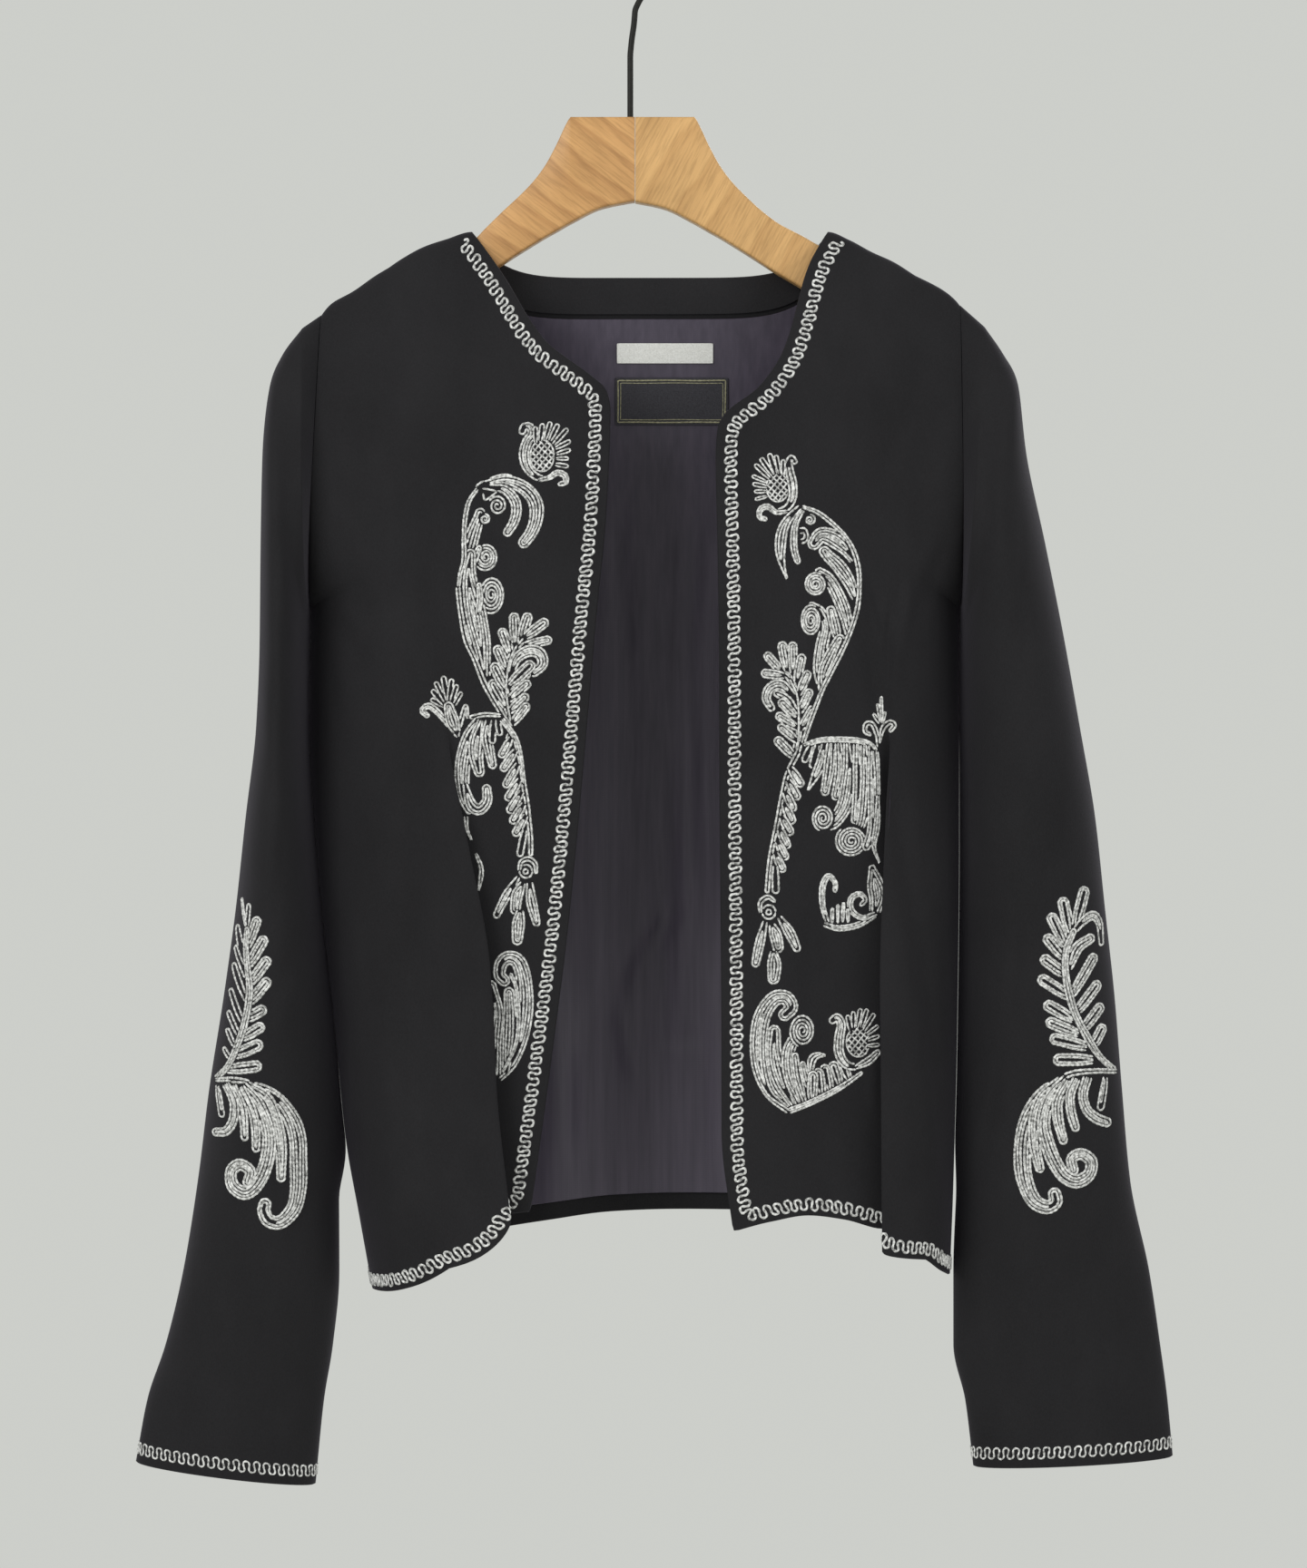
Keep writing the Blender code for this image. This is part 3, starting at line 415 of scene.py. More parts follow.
RIGHT_SPRAY = (
    ("lattice", (6.5, 8.1, 76.5, -312)),
    ("plume", (3.6, 5.4, 4.1, 75.5, -325, 81.5, -322.5, 84.5, -317, 84.5, -310, 83, -303.5, 82.5, -299, 84,
        -296, 85.5, -298), (2.5, 3.9, 3.3, 81.5, -324.5, 76, -325, 71.5, -322, 67.5, -323.5, 67, -327.5,
        70, -328.5)),
    ("loop", (3.2, 72.5, -307, 65.5, -300.5), (3.2, 74, -305.5, 68.5, -297),
        (3.2, 75.5, -304.5, 72.5, -295), (3, 77.5, -304.5, 76, -295.5), (2.8, 79.5, -305.5, 79.5, -298),
        (2.8, 71, -309, 64, -306), (2.8, 71, -311.5, 64.5, -310), (2.5, 70.5, -314, 65, -314),
        (2.5, 71, -316.5, 65.5, -318)),
    ("plume", (3.6, 6.5, 1.8, 88.5, -322, 81.5, -329.5, 78.5, -337, 78, -347, 79.5, -354.5, 81.5, -360.5),
        (2.4, 4.4, 3.8, 90, -324, 86, -331, 85, -339.5, 85.5, -346, 87, -351)),
    ("spiral", (3.5, 3.5, 2, 90, -1, 93.5, -329)),
    ("line", (88, -333.5, 91, -333.5, 92.5, -336.5, 92, -340, 89, -341.5),
        (88.5, -336, 90.5, -336, 90.5, -338.5, 88.5, -339.5)),
    ("plume", (5.6, 9.8, 7.5, 116.5, -350.5, 112, -343.5, 105.5, -338.5, 99.5, -337, 95.5, -341.5),
        (4.6, 8, 6.1, 117.5, -370.5, 114, -361.5, 108.5, -353.5, 103.5, -348.5, 101, -345.5),
        (4.3, 7.7, 6.3, 114.5, -392, 112.5, -381, 108.5, -369.5, 103.5, -360.5, 98.5, -357)),
    ("spiral", (6.5, 6.7, 4, 60, 1, 96.5, -363)),
    ("plume", (4.3, 7.2, 5.5, 100.5, -421, 98, -409.5, 99.5, -396, 101.5, -385.5, 99, -377.5, 94.5,
        -374.5)),
    ("spiral", (6, 8.8, 4.2, 60, 1, 94, -382)),
    ("plume", (3.6, 5.9, 5.3, 109, -396, 106.5, -385.5, 104.5, -376.5),
        (4.4, 8, 6.1, 99.5, -419, 101, -409.5, 105, -400, 109, -392),
        (4.1, 7.5, 6.3, 85, -457, 87.5, -444.5, 87.5, -431.5, 87, -420, 83, -410.5, 77, -408)),
    ("lobe", (4.1, 5.7, 78.5, -409, 71.5, -401), (4, 5.5, 80, -411, 70, -410)),
    ("plume", (3.6, 5.9, 4.8, 86.5, -423.5, 78.5, -416, 72.5, -417.5, 70.5, -423, 73, -428),
        (2.9, 5.2, 4.6, 87, -431.5, 81.5, -423.5, 76, -420.5)),
    ("lobe", (4.1, 5.7, 87, -434, 79, -425.5), (4, 5.5, 87, -438.5, 77.5, -432.5),
        (3.8, 5.2, 87, -445.5, 78.5, -438.5), (4.1, 5.7, 85.5, -454, 77, -445.5),
        (4.1, 5.7, 81.5, -408.5, 79, -395.5), (4, 5.5, 84.5, -410, 84.5, -395.5),
        (4, 5.5, 86.5, -414.5, 89, -402), (3.8, 5.2, 87.5, -421, 92, -410.5),
        (3.8, 5.2, 88, -430.5, 93, -420), (3.8, 5.2, 88.5, -439.5, 94.5, -429)),
    ("line", (86, -456, 87.5, -444.5, 87.5, -431.5, 86.5, -421, 83, -413)),
    ("plume", (2.8, 3.1, 3, 89.5, -322, 97.5, -325, 105.5, -331, 112, -337.5, 116.5, -345.5, 119, -354.5,
        119.5, -364.5, 118.5, -375, 116, -384.5, 111.5, -395.5, 104.5, -409.5, 100, -418.5, 95.5, -430, 90,
        -446), (1.9, 3.4, 2.8, 129.5, -448.5, 129, -442, 126.5, -436.5, 123, -436.5, 122.5, -440.5, 125,
        -442), (2, 3.6, 3, 130.5, -446.5, 132.5, -438.5, 136.5, -435.5, 139, -437, 137, -440)),
    ("loop", (2.3, 130.5, -436, 127.5, -431.5), (2.3, 131, -435.5, 129.5, -426.5),
        (2.1, 131.5, -435.5, 131.5, -422.5), (2.1, 132, -436, 133.5, -430.5)),
    ("plume", (3.3, 3.7, 3.3, 90, -448, 99, -445, 109, -444.5, 120, -445.5, 126.5, -448.5, 129, -455,
        129.5, -474)),
    ("lobe", (3.2, 4.4, 94, -448, 91, -455), (3.4, 4.7, 97.5, -447.5, 95, -458)),
    ("plume", (4.5, 5.8, 1.8, 101.5, -447, 99, -457.5, 95.5, -465.5, 92.5, -471.5),
        (5.1, 6.4, 5.4, 104.5, -446.5, 103.5, -460, 101.5, -472), (5.7, 7.1, 6, 109, -446.5, 110, -460,
        107.5, -474), (5.7, 8.9, 7.8, 113.5, -446.5, 114.5, -463, 112, -478.5, 106.5, -487.5, 101, -490)),
    ("spiral", (6.3, 7.7, 3.4, 250, -1, 100.5, -486)),
    ("plume", (5.4, 6.4, 5.1, 118.5, -447, 119, -467, 117.5, -487),
        (5.7, 8, 6.9, 122.5, -447.5, 123.5, -467, 122.5, -483.5, 120, -491.5, 114.5, -493)),
    ("spiral", (9, 8.8, 4.6, 130, 1, 115.5, -498)),
    ("plume", (5.4, 6.7, 5.1, 126.5, -450.5, 127, -474, 126.5, -491.5, 123.5, -501),
        (2.7, 4, 1.8, 129.5, -474, 129, -490, 127.5, -501, 130.5, -510),
        (3.6, 3.1, 3.3, 87.5, -451, 82, -462, 79.5, -471.5, 76.5, -487.5, 73, -505.5, 71, -524.5)),
    ("lobe", (3.8, 5.3, 83, -459.5, 88.5, -467.5), (3.8, 5.3, 82, -466, 86.5, -474.5),
        (3.8, 5.3, 80.5, -472, 84.5, -480.5), (3.8, 5.3, 80, -478.5, 84, -487),
        (3.8, 5.3, 78.5, -485, 83, -493), (3.8, 5.3, 77.5, -491.5, 81.5, -500),
        (3.8, 5.3, 76.5, -498, 80.5, -506), (3.8, 5.3, 75.5, -504.5, 79, -512.5),
        (3.4, 4.7, 75.5, -511, 75.5, -524)),
    ("ring", (3.6, 72, -535.5), (1.4, 72, -535.5)),
    ("plume", (2.4, 3.4, 2.7, 67.5, -536, 67.5, -530.5, 71.5, -527.5, 75, -529.5),
        (3.6, 5.8, 5.1, 70, -540.5, 67, -553, 65, -562.5), (3.9, 7.1, 6.6, 73.5, -542, 76, -549, 77, -554),
        (4.5, 8, 6.9, 74.5, -556, 75, -564, 74.5, -570.5), (3.6, 6.1, 4.8, 77.5, -538, 83, -546.5, 87,
        -554.5), (3, 4, 3.3, 103, -541, 100.5, -531.5, 100.5, -521.5, 103.5, -516.5, 107, -520, 107, -524),
        (3, 4, 3.9, 101, -542, 109, -544, 120, -542, 130, -535.5),
        (3, 4, 3, 129, -536, 121.5, -538.5, 115.5, -534.5, 115.5, -528.5, 120, -526, 123, -529, 121,
        -531.5)),
    ("lobe", (1.7, 2.4, 105.5, -541.5, 105.5, -534), (1.7, 2.4, 108.5, -541.5, 108.5, -532),
        (1.7, 2.4, 111, -541, 111.5, -531), (1.7, 2.4, 114, -541, 113.5, -534.5)),
    ("plume", (6.9, 10.4, 4.5, 128, -535.5, 129.5, -527, 128, -519, 126.5, -512.5),
        (5.4, 9.8, 7.4, 83, -639.5, 72.5, -630.5, 67.5, -617.5, 66.5, -604, 68.5, -590.5, 74.5, -581.5, 81,
        -580.5, 84, -585.5, 80.5, -589.5), (5.4, 9.2, 7, 85.5, -638, 78.5, -624.5, 75, -610.5, 75, -598),
        (5.1, 7.4, 6.9, 88.5, -636.5, 83, -621.5, 82.5, -609.5, 85.5, -602)),
    ("spiral", (7.4, 9.3, 4, 250, -1, 90, -598)),
    ("plume", (3, 4.9, 4.2, 91, -635, 87.5, -622.5, 86, -611),
        (2.4, 4, 3.6, 94.5, -632.5, 92, -624, 90, -615.5), (3, 5.2, 1.5, 94, -621, 95, -613.5, 98, -611,
        103, -611)),
    ("lobe", (4.7, 6.5, 114.5, -624.5, 110.5, -615.5), (4.7, 6.5, 109.5, -627.5, 106.5, -617),
        (4.7, 6.5, 104.5, -630.5, 102, -618.5), (4.7, 6.5, 100, -633, 98.5, -620.5),
        (4.5, 6.2, 95, -635, 95.5, -622)),
    ("plume", (3.9, 3.7, 2.8, 83, -640, 95, -635.5, 109, -628.5, 121, -620.5)),
    ("lattice", (6.8, 8.5, 119.5, -604)),
    ("plume", (3.9, 6.1, 4.7, 121, -617.5, 113.5, -616, 109.5, -609.5, 109.5, -601.5, 110.5, -595, 108.5,
        -591, 106, -592.5), (3, 4.9, 4.2, 118, -617.5, 125, -614, 130, -609.5)),
    ("loop", (3, 115.5, -598, 114, -591), (3, 117, -596.5, 117, -589), (3, 119, -596, 120.5, -587.5),
        (3, 121, -596.5, 124, -587.5), (3, 122.5, -598, 127.5, -590), (2.7, 124, -600, 129.5, -596),
        (2.7, 124.5, -603, 130, -601), (2.7, 124.5, -606, 130, -605.5)),
)
LEFT_SLEEVE_SPRAY = (
    ("lobe", (4.8, 6.6, -213.5, -618.5, -197, -616), (5, 6.9, -208.5, -610.5, -196.5, -605),
        (4.6, 6.3, -204.5, -601.5, -195, -595.5), (4.6, 6.3, -202.5, -591.5, -194, -586.5),
        (4.4, 6.1, -200, -582.5, -191.5, -572), (4.4, 6.1, -200, -572.5, -191.5, -561),
        (4.4, 6.1, -201, -563.5, -193, -550), (4.2, 5.8, -201.5, -553.5, -196.5, -540),
        (2.4, 3.3, -202, -545.5, -201, -532), (1.8, 2.5, -202.5, -544.5, -205.5, -528.5),
        (3.4, 4.7, -202, -565, -208.5, -544), (3, 4.1, -201.5, -571, -209, -554.5),
        (3.2, 4.4, -202, -582.5, -210, -564), (3.2, 4.4, -204.5, -593, -211.5, -577.5),
        (3, 4.1, -206.5, -600.5, -212.5, -589), (2.6, 3.6, -209, -606.5, -213, -598),
        (2.4, 3.3, -211.5, -613, -215, -608)),
    ("plume", (3.6, 4.3, 3.6, -220.5, -624, -212.5, -616, -206.5, -603, -202.5, -590.5, -200.5, -577.5,
        -201.5, -565, -202.5, -553.5, -202, -544.5), (2.7, 3.3, 3.3, -220.5, -624.5, -211, -623.5, -201,
        -624.5, -190.5, -628.5), (5.2, 9.4, 7.2, -211, -626.5, -197, -627.5, -186.5, -633, -179.5, -642.5,
        -176, -654, -175.5, -667, -176, -682, -178.5, -692, -185, -698.5, -191, -697.5, -193.5, -692.5,
        -193, -689), (5.6, 7.1, 5.4, -202, -626, -192, -632.5, -187, -644, -184.5, -659, -184.5, -675),
        (5.6, 8, 6.1, -204.5, -626, -196, -636, -191, -650.5, -191.5, -664.5, -196, -676.5, -203, -683,
        -210, -679.5, -211, -672, -206, -668, -200.5, -671.5, -202, -677.5),
        (5.1, 5.4, 4.8, -205.5, -627, -199.5, -639, -197.5, -649, -197.5, -659.5),
        (5.1, 5.4, 4.8, -210, -626.5, -205.5, -636, -204, -645, -203.5, -653.5),
        (5.3, 5.7, 5.1, -214, -626, -209.5, -635, -209.5, -644, -213.5, -650.5, -220, -652)),
    ("loop", (4.3, -219, -627, -216.5, -642), (2, -218.5, -627.5, -216.5, -639.5)),
)
RIGHT_SLEEVE_SPRAY = (
    ("lobe", (5, 6.9, 243, -613.5, 224.5, -613), (5, 6.9, 239.5, -606.5, 222.5, -602),
        (4.6, 6.4, 235, -599.5, 220, -593.5), (4.8, 6.6, 232, -592, 219, -584.5),
        (5, 6.9, 229.5, -580, 216, -571), (4.8, 6.6, 228, -568.5, 217, -560.5),
        (4.6, 6.4, 227.5, -560, 218.5, -549.5), (4.6, 6.4, 228, -553.5, 220.5, -538.5),
        (5, 6.9, 230, -546.5, 226.5, -530.5), (5, 6.9, 233, -542.5, 238, -525)),
    ("plume", (3.5, 5.4, 4.1, 231, -547.5, 236.5, -541, 243, -537.5, 247, -542, 248, -552),
        (4.4, 6.6, 5.9, 229.5, -565, 234, -554.5, 241.5, -549.5)),
    ("lobe", (4.4, 6.1, 230.5, -580, 243, -560), (4.6, 6.4, 232.5, -589.5, 245, -574.5),
        (4.6, 6.4, 236.5, -598.5, 246.5, -586.5), (4.6, 6.4, 242, -608, 248, -597.5)),
    ("plume", (3.8, 4.5, 3.8, 256.5, -620.5, 247, -612, 239.5, -601, 233, -588.5, 229, -575.5, 227.5,
        -563.5, 228.5, -554, 232, -545.5), (2.8, 3.5, 3.5, 257, -620.5, 245.5, -619.5, 233.5, -620, 225.5,
        -622.5), (5.3, 9.6, 7.3, 228, -623, 217, -629.5, 210, -639.5, 206.5, -651.5, 205.5, -665, 207,
        -677.5, 211.5, -687.5, 218.5, -691, 223, -688.5, 222.5, -684),
        (5.9, 7.2, 5.5, 225.5, -624, 216, -632.5, 212, -644.5, 212, -658, 214.5, -670.5),
        (5.9, 8.1, 6.1, 228.5, -623, 220, -632.5, 216.5, -645.5, 218, -655.5, 222, -666, 227.5, -674.5,
        234.5, -677.5, 241, -674, 242, -667, 236.5, -663, 231.5, -665.5, 232.5, -671.5),
        (5.6, 6.3, 5.3, 229.5, -624, 224, -634.5, 224, -644.5, 227, -655.5),
        (5.3, 5.7, 5, 234, -623, 230.5, -631.5, 231, -640.5, 233.5, -649),
        (5.6, 6, 5.6, 240, -622.5, 237.5, -631.5, 239.5, -639.5, 245, -644.5, 251, -647)),
    ("loop", (4.5, 250, -623, 247.5, -638.5), (2.1, 249.5, -624, 247.5, -635.5)),
)

# Grids of the shells
FRONT_COLUMNS = 96
FOLD_DENSITY = 1.5          # how much closer together the columns lie on a front's fold
BACK_COLUMNS = 120
NECK_CORNER = 3.0           # width of the back neckline's corners, and the columns within each
NECK_CORNER_COLUMNS = 5
PANEL_ROWS = 176
SHOULDER_SPAN = 24.0        # the cloth over the shoulder, where rows lie close together
SHOULDER_SPAN_ROWS = 12
SLEEVE_COLUMNS = 104
SLEEVE_ROWS = 190
CUFF_ROWS = 30              # the sleeve's last rows, which carry the cuff's border
CUFF_VELVET_ROWS = 6        # the last of them, with velvet inside as well
FRONT_FACING = 0.14         # share of a front's width that has velvet inside
LABEL_GRID = (49, 21)

FLAT_DEPTH = 40.0           # depth of the cloth from which its waves and creases stand out in full
WAVE_FADE = 2               # a wave reaches its full height at one in this many parts of its length
CREASE_FADE = 3             # the same for creases, at both of their ends
CREASE_BEND = 0.6           # how far a crease swings from its line, as a share of its half width
CREASE_BEND_RATE = 4.0
CREASE_START_WIDTH = 0.8    # a crease's half width at its start, as a share, and how much it widens
CREASE_WIDENING = 0.4
CREASE_TROUGH = 0.35        # the dip beside a crease: share of its height, and place in half widths
CREASE_TROUGH_PLACE = 1.6
RIM_BULGE = 0.3             # how far the shells' rims are rounded, as a share of the thickness
WELD_DISTANCE = 0.02


def smooth(table, at, column=1):
    """Reads a table's column at the given places, as a smooth curve with no overshoot between rows."""
    places = np.array([row[0] for row in table], float)
    values = np.array([row[column] for row in table], float)
    steps = np.diff(places)
    slopes = np.diff(values) / steps
    before, after = slopes[:-1], slopes[1:]
    same_way = before * after > 0
    total = np.where(same_way, before + after, 1.0)
    middle = np.where(same_way, 2 * before * after / total, 0.0)
    tangents = np.concatenate([slopes[:1], middle, slopes[-1:]])
    at = np.clip(np.asarray(at, float), places[0], places[-1])
    i = np.clip(np.searchsorted(places, at, side="right") - 1, 0, len(steps) - 1)
    t = (at - places[i]) / steps[i]
    rise = values[i + 1] - values[i]
    bend = (steps[i] * tangents[i] - rise) * (1 - t) - (steps[i] * tangents[i + 1] - rise) * t
    return values[i] + t * rise + t * (1 - t) * bend


def reversed_rows(table):
    """The same table with its first column rising."""
    return tuple(sorted(table))


DISTANCES = np.linspace(0.0, CLOTH_LENGTH, 546)
DEPTHS = smooth(DEPTH_BY_DISTANCE, DISTANCES)
DROPS = np.append(0.0, np.cumsum(np.sqrt(np.maximum(0.0, np.diff(DISTANCES) ** 2 - np.diff(DEPTHS) ** 2))))


def progress_at(distance):
    """Share of a panel's height reached at a distance down the cloth."""
    return np.interp(distance, DISTANCES, DROPS) / DROPS[-1]


def full_depth(progress):
    """How far the flat of a panel stands from the hanger's plane."""
    return np.interp(progress * DROPS[-1], DROPS, DEPTHS)


def between(table, share):
    """The place at a share of the way from a table's first row to its last, by their first column."""
    return table[0][0] + (table[-1][0] - table[0][0]) * share


def eased(share):
    share = np.clip(share, 0.0, 1.0)
    return share * share * (3 - 2 * share)


def waves(x, z, table):
    """How far the solids' soft waves along slanted lines push the cloth outwards."""
    push = np.zeros(np.broadcast(x, z).shape)
    for top_x, top_z, bottom_x, bottom_z, half_width, height in table:
        along = (top_z - z) / (top_z - bottom_z)
        off = (x - (top_x + (bottom_x - top_x) * along)) / half_width
        push = push + height * np.exp(-off ** 2) * eased(along * WAVE_FADE)
    return push


def creases(x, z, table):
    """How far short creases push the cloth outwards: each fades at both ends and bends a little."""
    push = np.zeros(np.broadcast(x, z).shape)
    for number, (from_x, from_z, to_x, to_z, half_width, height) in enumerate(table):
        run = np.hypot(to_x - from_x, to_z - from_z)
        line_x, line_z = (to_x - from_x) / run, (to_z - from_z) / run
        along = ((x - from_x) * line_x + (z - from_z) * line_z) / run
        off = (x - from_x) * line_z - (z - from_z) * line_x
        off = off - half_width * CREASE_BEND * np.sin(along * CREASE_BEND_RATE + number)
        fade = eased(along * CREASE_FADE) * eased((1 - along) * CREASE_FADE)
        off = off / (half_width * (CREASE_START_WIDTH + CREASE_WIDENING * np.clip(along, 0, 1)))
        trough = CREASE_TROUGH * np.exp(-((off - CREASE_TROUGH_PLACE) ** 2))
        push = push + height * fade * (np.exp(-off ** 2) - trough)
    return push


def side_edge(side, progress):
    """The armhole and side seam: x, depth left at the edge, height."""
    table = SIDES[side]["side_line"]
    z = between(table, progress)
    x = smooth(reversed_rows(table), z)
    below = np.clip((ARMHOLE_WIDEST - z) / (ARMHOLE_WIDEST - UNDERARM), 0.0, 1.0)
    return x, full_depth(progress) * np.sqrt(1.0 - below ** 2), z


def rounded(x, edge_x, edge_depth, depth):
    """Depth of a panel at x: full on its flat, curving round to its edge."""
    turn = np.clip(1.0 - np.abs(edge_x - x) / SIDE_ROUNDING, 0.0, 1.0)
    return edge_depth + (depth - edge_depth) * np.sqrt(1.0 - turn ** 2)


def front_surface(side, across, progress):
    """A front's outer surface. across runs from the front edge, 0, to the side, 1."""
    spec = SIDES[side]
    inward = spec["inward"]
    fold_start, fold_end = spec["fold_span"]
    edge_x, edge_depth, _ = side_edge(side, progress)
    hem = smooth(spec["front_hem"], across)
    front_top = spec["front_edge"][0][0]
    front_z = front_top + (spec["front_hem"][0][1] - front_top) * progress
    front_x = smooth(reversed_rows(spec["front_edge"]), front_z)
    centre, half_width, lean, recede = (smooth(spec["fold"], progress, k) for k in (1, 2, 3, 4))
    tau = np.clip(1.0 - 2.0 * (across - fold_start) / (fold_end - fold_start), -1.0, 1.0)
    folded = centre + inward * half_width * ((1.0 - lean) * tau + lean * (4.0 * tau ** 3 - 3.0 * tau))
    before = front_x + (centre + inward * half_width - front_x) * across / fold_start
    to_side = np.clip((across - fold_end) / (1.0 - fold_end), 0.0, 1.0)
    last = centre - inward * half_width
    after = last + (edge_x - last) * (0.5 * to_side + 0.5 * np.sin(to_side * math.pi / 2))
    x = np.where(across < fold_start, before, np.where(across > fold_end, after, folded))
    ridge = smooth(SHOULDER_LINE, x_at_shoulder(side, across))
    z = ridge + (hem - ridge) * progress
    depth = rounded(x, edge_x, edge_depth, full_depth(progress))
    depth = depth - recede * (0.5 + 0.75 * tau - 0.25 * tau ** 3)
    flat = np.clip(depth / FLAT_DEPTH, 0.0, 1.0)
    depth = depth + waves(x, z, FRONT_WAVES) * flat
    depth = depth + creases(x, z, FRONT_CREASES[side]) * flat * (1.0 - np.abs(lean * (1.0 - tau ** 2)))
    return np.stack([x, -np.maximum(depth, SEAM / 2), z], axis=-1)


def x_at_shoulder(side, across):
    """Where a front's columns start along the shoulder seam."""
    spec = SIDES[side]
    fold_start, fold_end = spec["fold_span"]
    _, centre, half_width, _, _ = spec["fold"][0]
    inward = spec["inward"]
    stations = ((0.0, spec["front_edge"][0][1]), (fold_start, centre + inward * half_width),
                (fold_end, centre - inward * half_width), (1.0, spec["side_line"][0][1]))
    return np.interp(across, [row[0] for row in stations], [row[1] for row in stations])


def back_span(across):
    """Heights at which the back's columns start and end, on the shoulder line and at the hem."""
    return smooth(SHOULDER_LINE, between(SHOULDER_LINE, across)), smooth(BACK_HEM, between(BACK_HEM, across))


def back_surface(across, progress, small=BACK_CREASES):
    """The back's outer surface. across runs from the left side, 0, to the right side, 1."""
    left_x, left_depth, _ = side_edge("left", progress)
    right_x, right_depth, _ = side_edge("right", progress)
    x = left_x + (right_x - left_x) * across
    ridge, hem = back_span(across)
    z = ridge + (hem - ridge) * progress
    left = across < 0.5
    depth = full_depth(progress)
    depth = rounded(x, np.where(left, left_x, right_x), np.where(left, left_depth, right_depth), depth)
    flat = np.clip(depth / FLAT_DEPTH, 0.0, 1.0)
    depth = depth + (waves(x, z, BACK_WAVES) + creases(x, z, small)) * flat
    return np.stack([x, np.maximum(depth, SEAM / 2), z], axis=-1)


def back_neck(across):
    """Progress at which the back starts: 0 along the shoulders, lower along the neckline."""
    x = between(SHOULDER_LINE, across)
    off = np.abs(2.0 * (x - NECK_LEFT) / (NECK_RIGHT - NECK_LEFT) - 1.0)
    return BACK_NECK_DROP * np.clip(1.0 - off ** 6, 0.0, 1.0)


def underarm_progress(side):
    table = SIDES[side]["side_line"]
    return (UNDERARM - table[0][0]) / (table[-1][0] - table[0][0])


def back_place(x, z):
    """Across and progress of the back at a place seen from the front."""
    progress = (SHOULDER_LINE[7][1] - z) / DROPS[-1]
    for _ in range(BACK_PLACE_ROUNDS):
        left_x, right_x = (side_edge(side, progress)[0] for side in SIDES)
        across = (x - left_x) / (right_x - left_x)
        ridge, hem = back_span(across)
        progress = (z - ridge) / (hem - ridge)
    return across, progress


def sleeve_surface(side, turn, along):
    """A sleeve's outer surface. turn runs round it from its outer edge over the front, along from 0 to 1."""
    inward = SIDES[side]["inward"]
    upper = [progress_at(distance) for distance in SHOULDER_ROWS] + list(ARMHOLE_ROWS)
    stations = np.append(upper, underarm_progress(side))
    half = len(stations) - 1
    turn, along = np.broadcast_arrays(np.mod(turn, 1.0), along)
    place = np.where(turn <= 0.5, turn, 1.0 - turn) * 2 * half
    progress = np.interp(place, np.arange(half + 1), stations)
    edge_x, edge_depth, edge_z = side_edge(side, progress)
    front = np.where(turn <= 0.5, -1.0, 1.0)
    start = np.stack([edge_x - inward * SEAM, front * edge_depth, edge_z], axis=-1)
    top, bottom = side_edge(side, 0.0)[2], side_edge(side, stations[-1])[2]
    widest = side_edge(side, np.linspace(0, stations[-1], 60))[1].max()
    start_along = 2 * (edge_z - bottom) / (top - bottom) - 1
    angle = turn * 2 * math.pi

    rows = tuple((i, *row) for i, row in enumerate(SLEEVES[side]))
    ring = along * len(rows)
    outer_x, outer_z, inner_x, inner_z, half_depth = (smooth(rows, ring - 1, k) for k in range(1, 6))
    side_x = smooth(reversed_rows(SIDES[side]["side_line"]), inner_z)
    pressed = eased((inner_z - SLEEVE_LEAVES_BODY[1]) / (SLEEVE_LEAVES_BODY[0] - SLEEVE_LEAVES_BODY[1]))
    inner_x = inner_x + (side_x - inward * SLEEVE_GAP - inner_x) * pressed
    share = eased(np.maximum(ring, 1.0) / SLEEVE_HEAD_ROWS)
    reach = start_along * (1 - share) + np.cos(angle) * share
    deep = front * edge_depth / widest * (1 - share) - np.sin(angle) * share
    x = (outer_x + inner_x) / 2 + (outer_x - inner_x) / 2 * reach
    z = (outer_z + inner_z) / 2 + (outer_z - inner_z) / 2 * reach
    push = creases(x, z, SLEEVE_CREASES[side]) * np.clip(ring - 1, 0, 1) * np.abs(np.sin(angle))
    points = np.stack([x, half_depth * deep + np.sign(deep) * push, z], axis=-1)
    share = np.clip(ring, 0.0, 1.0)[..., None]
    return start * (1 - share) + points * share


def normals_of(points, closed_around=False):
    """Unit normals of a grid of points, from the slopes along its rows and columns."""
    if closed_around:
        wrapped = np.concatenate([points[:, -1:], points, points[:, :1]], axis=1)
        along_row = (wrapped[:, 2:] - wrapped[:, :-2]) / 2
    else:
        along_row = np.gradient(points, axis=1)
    down = np.gradient(points, axis=0)
    return unit(np.cross(down, along_row))


def unit(vectors):
    return vectors / np.maximum(np.linalg.norm(vectors, axis=-1, keepdims=True), 1e-9)


# Meshes

def grid_faces(rows, columns, closed_around, first=0):
    """Quads of a grid of points whose first has the given number."""
    around = columns if closed_around else columns - 1
    i, j = np.meshgrid(np.arange(rows - 1) * columns, np.arange(around), indexing="ij")
    k = (j + 1) % columns
    quads = np.stack([i + j, i + k, i + columns + k, i + columns + j], axis=-1)
    return quads.reshape(-1, 4) + first


def turn_outwards(mesh, weld_distance=0.0):
    """Turns a mesh's faces outwards, and first joins points that lie closer together than the distance."""
    shape = bmesh.new()
    shape.from_mesh(mesh)
    if weld_distance:
        bmesh.ops.remove_doubles(shape, verts=shape.verts, dist=weld_distance * MM)
    bmesh.ops.recalc_face_normals(shape, faces=shape.faces)
    shape.to_mesh(mesh)
    shape.free()


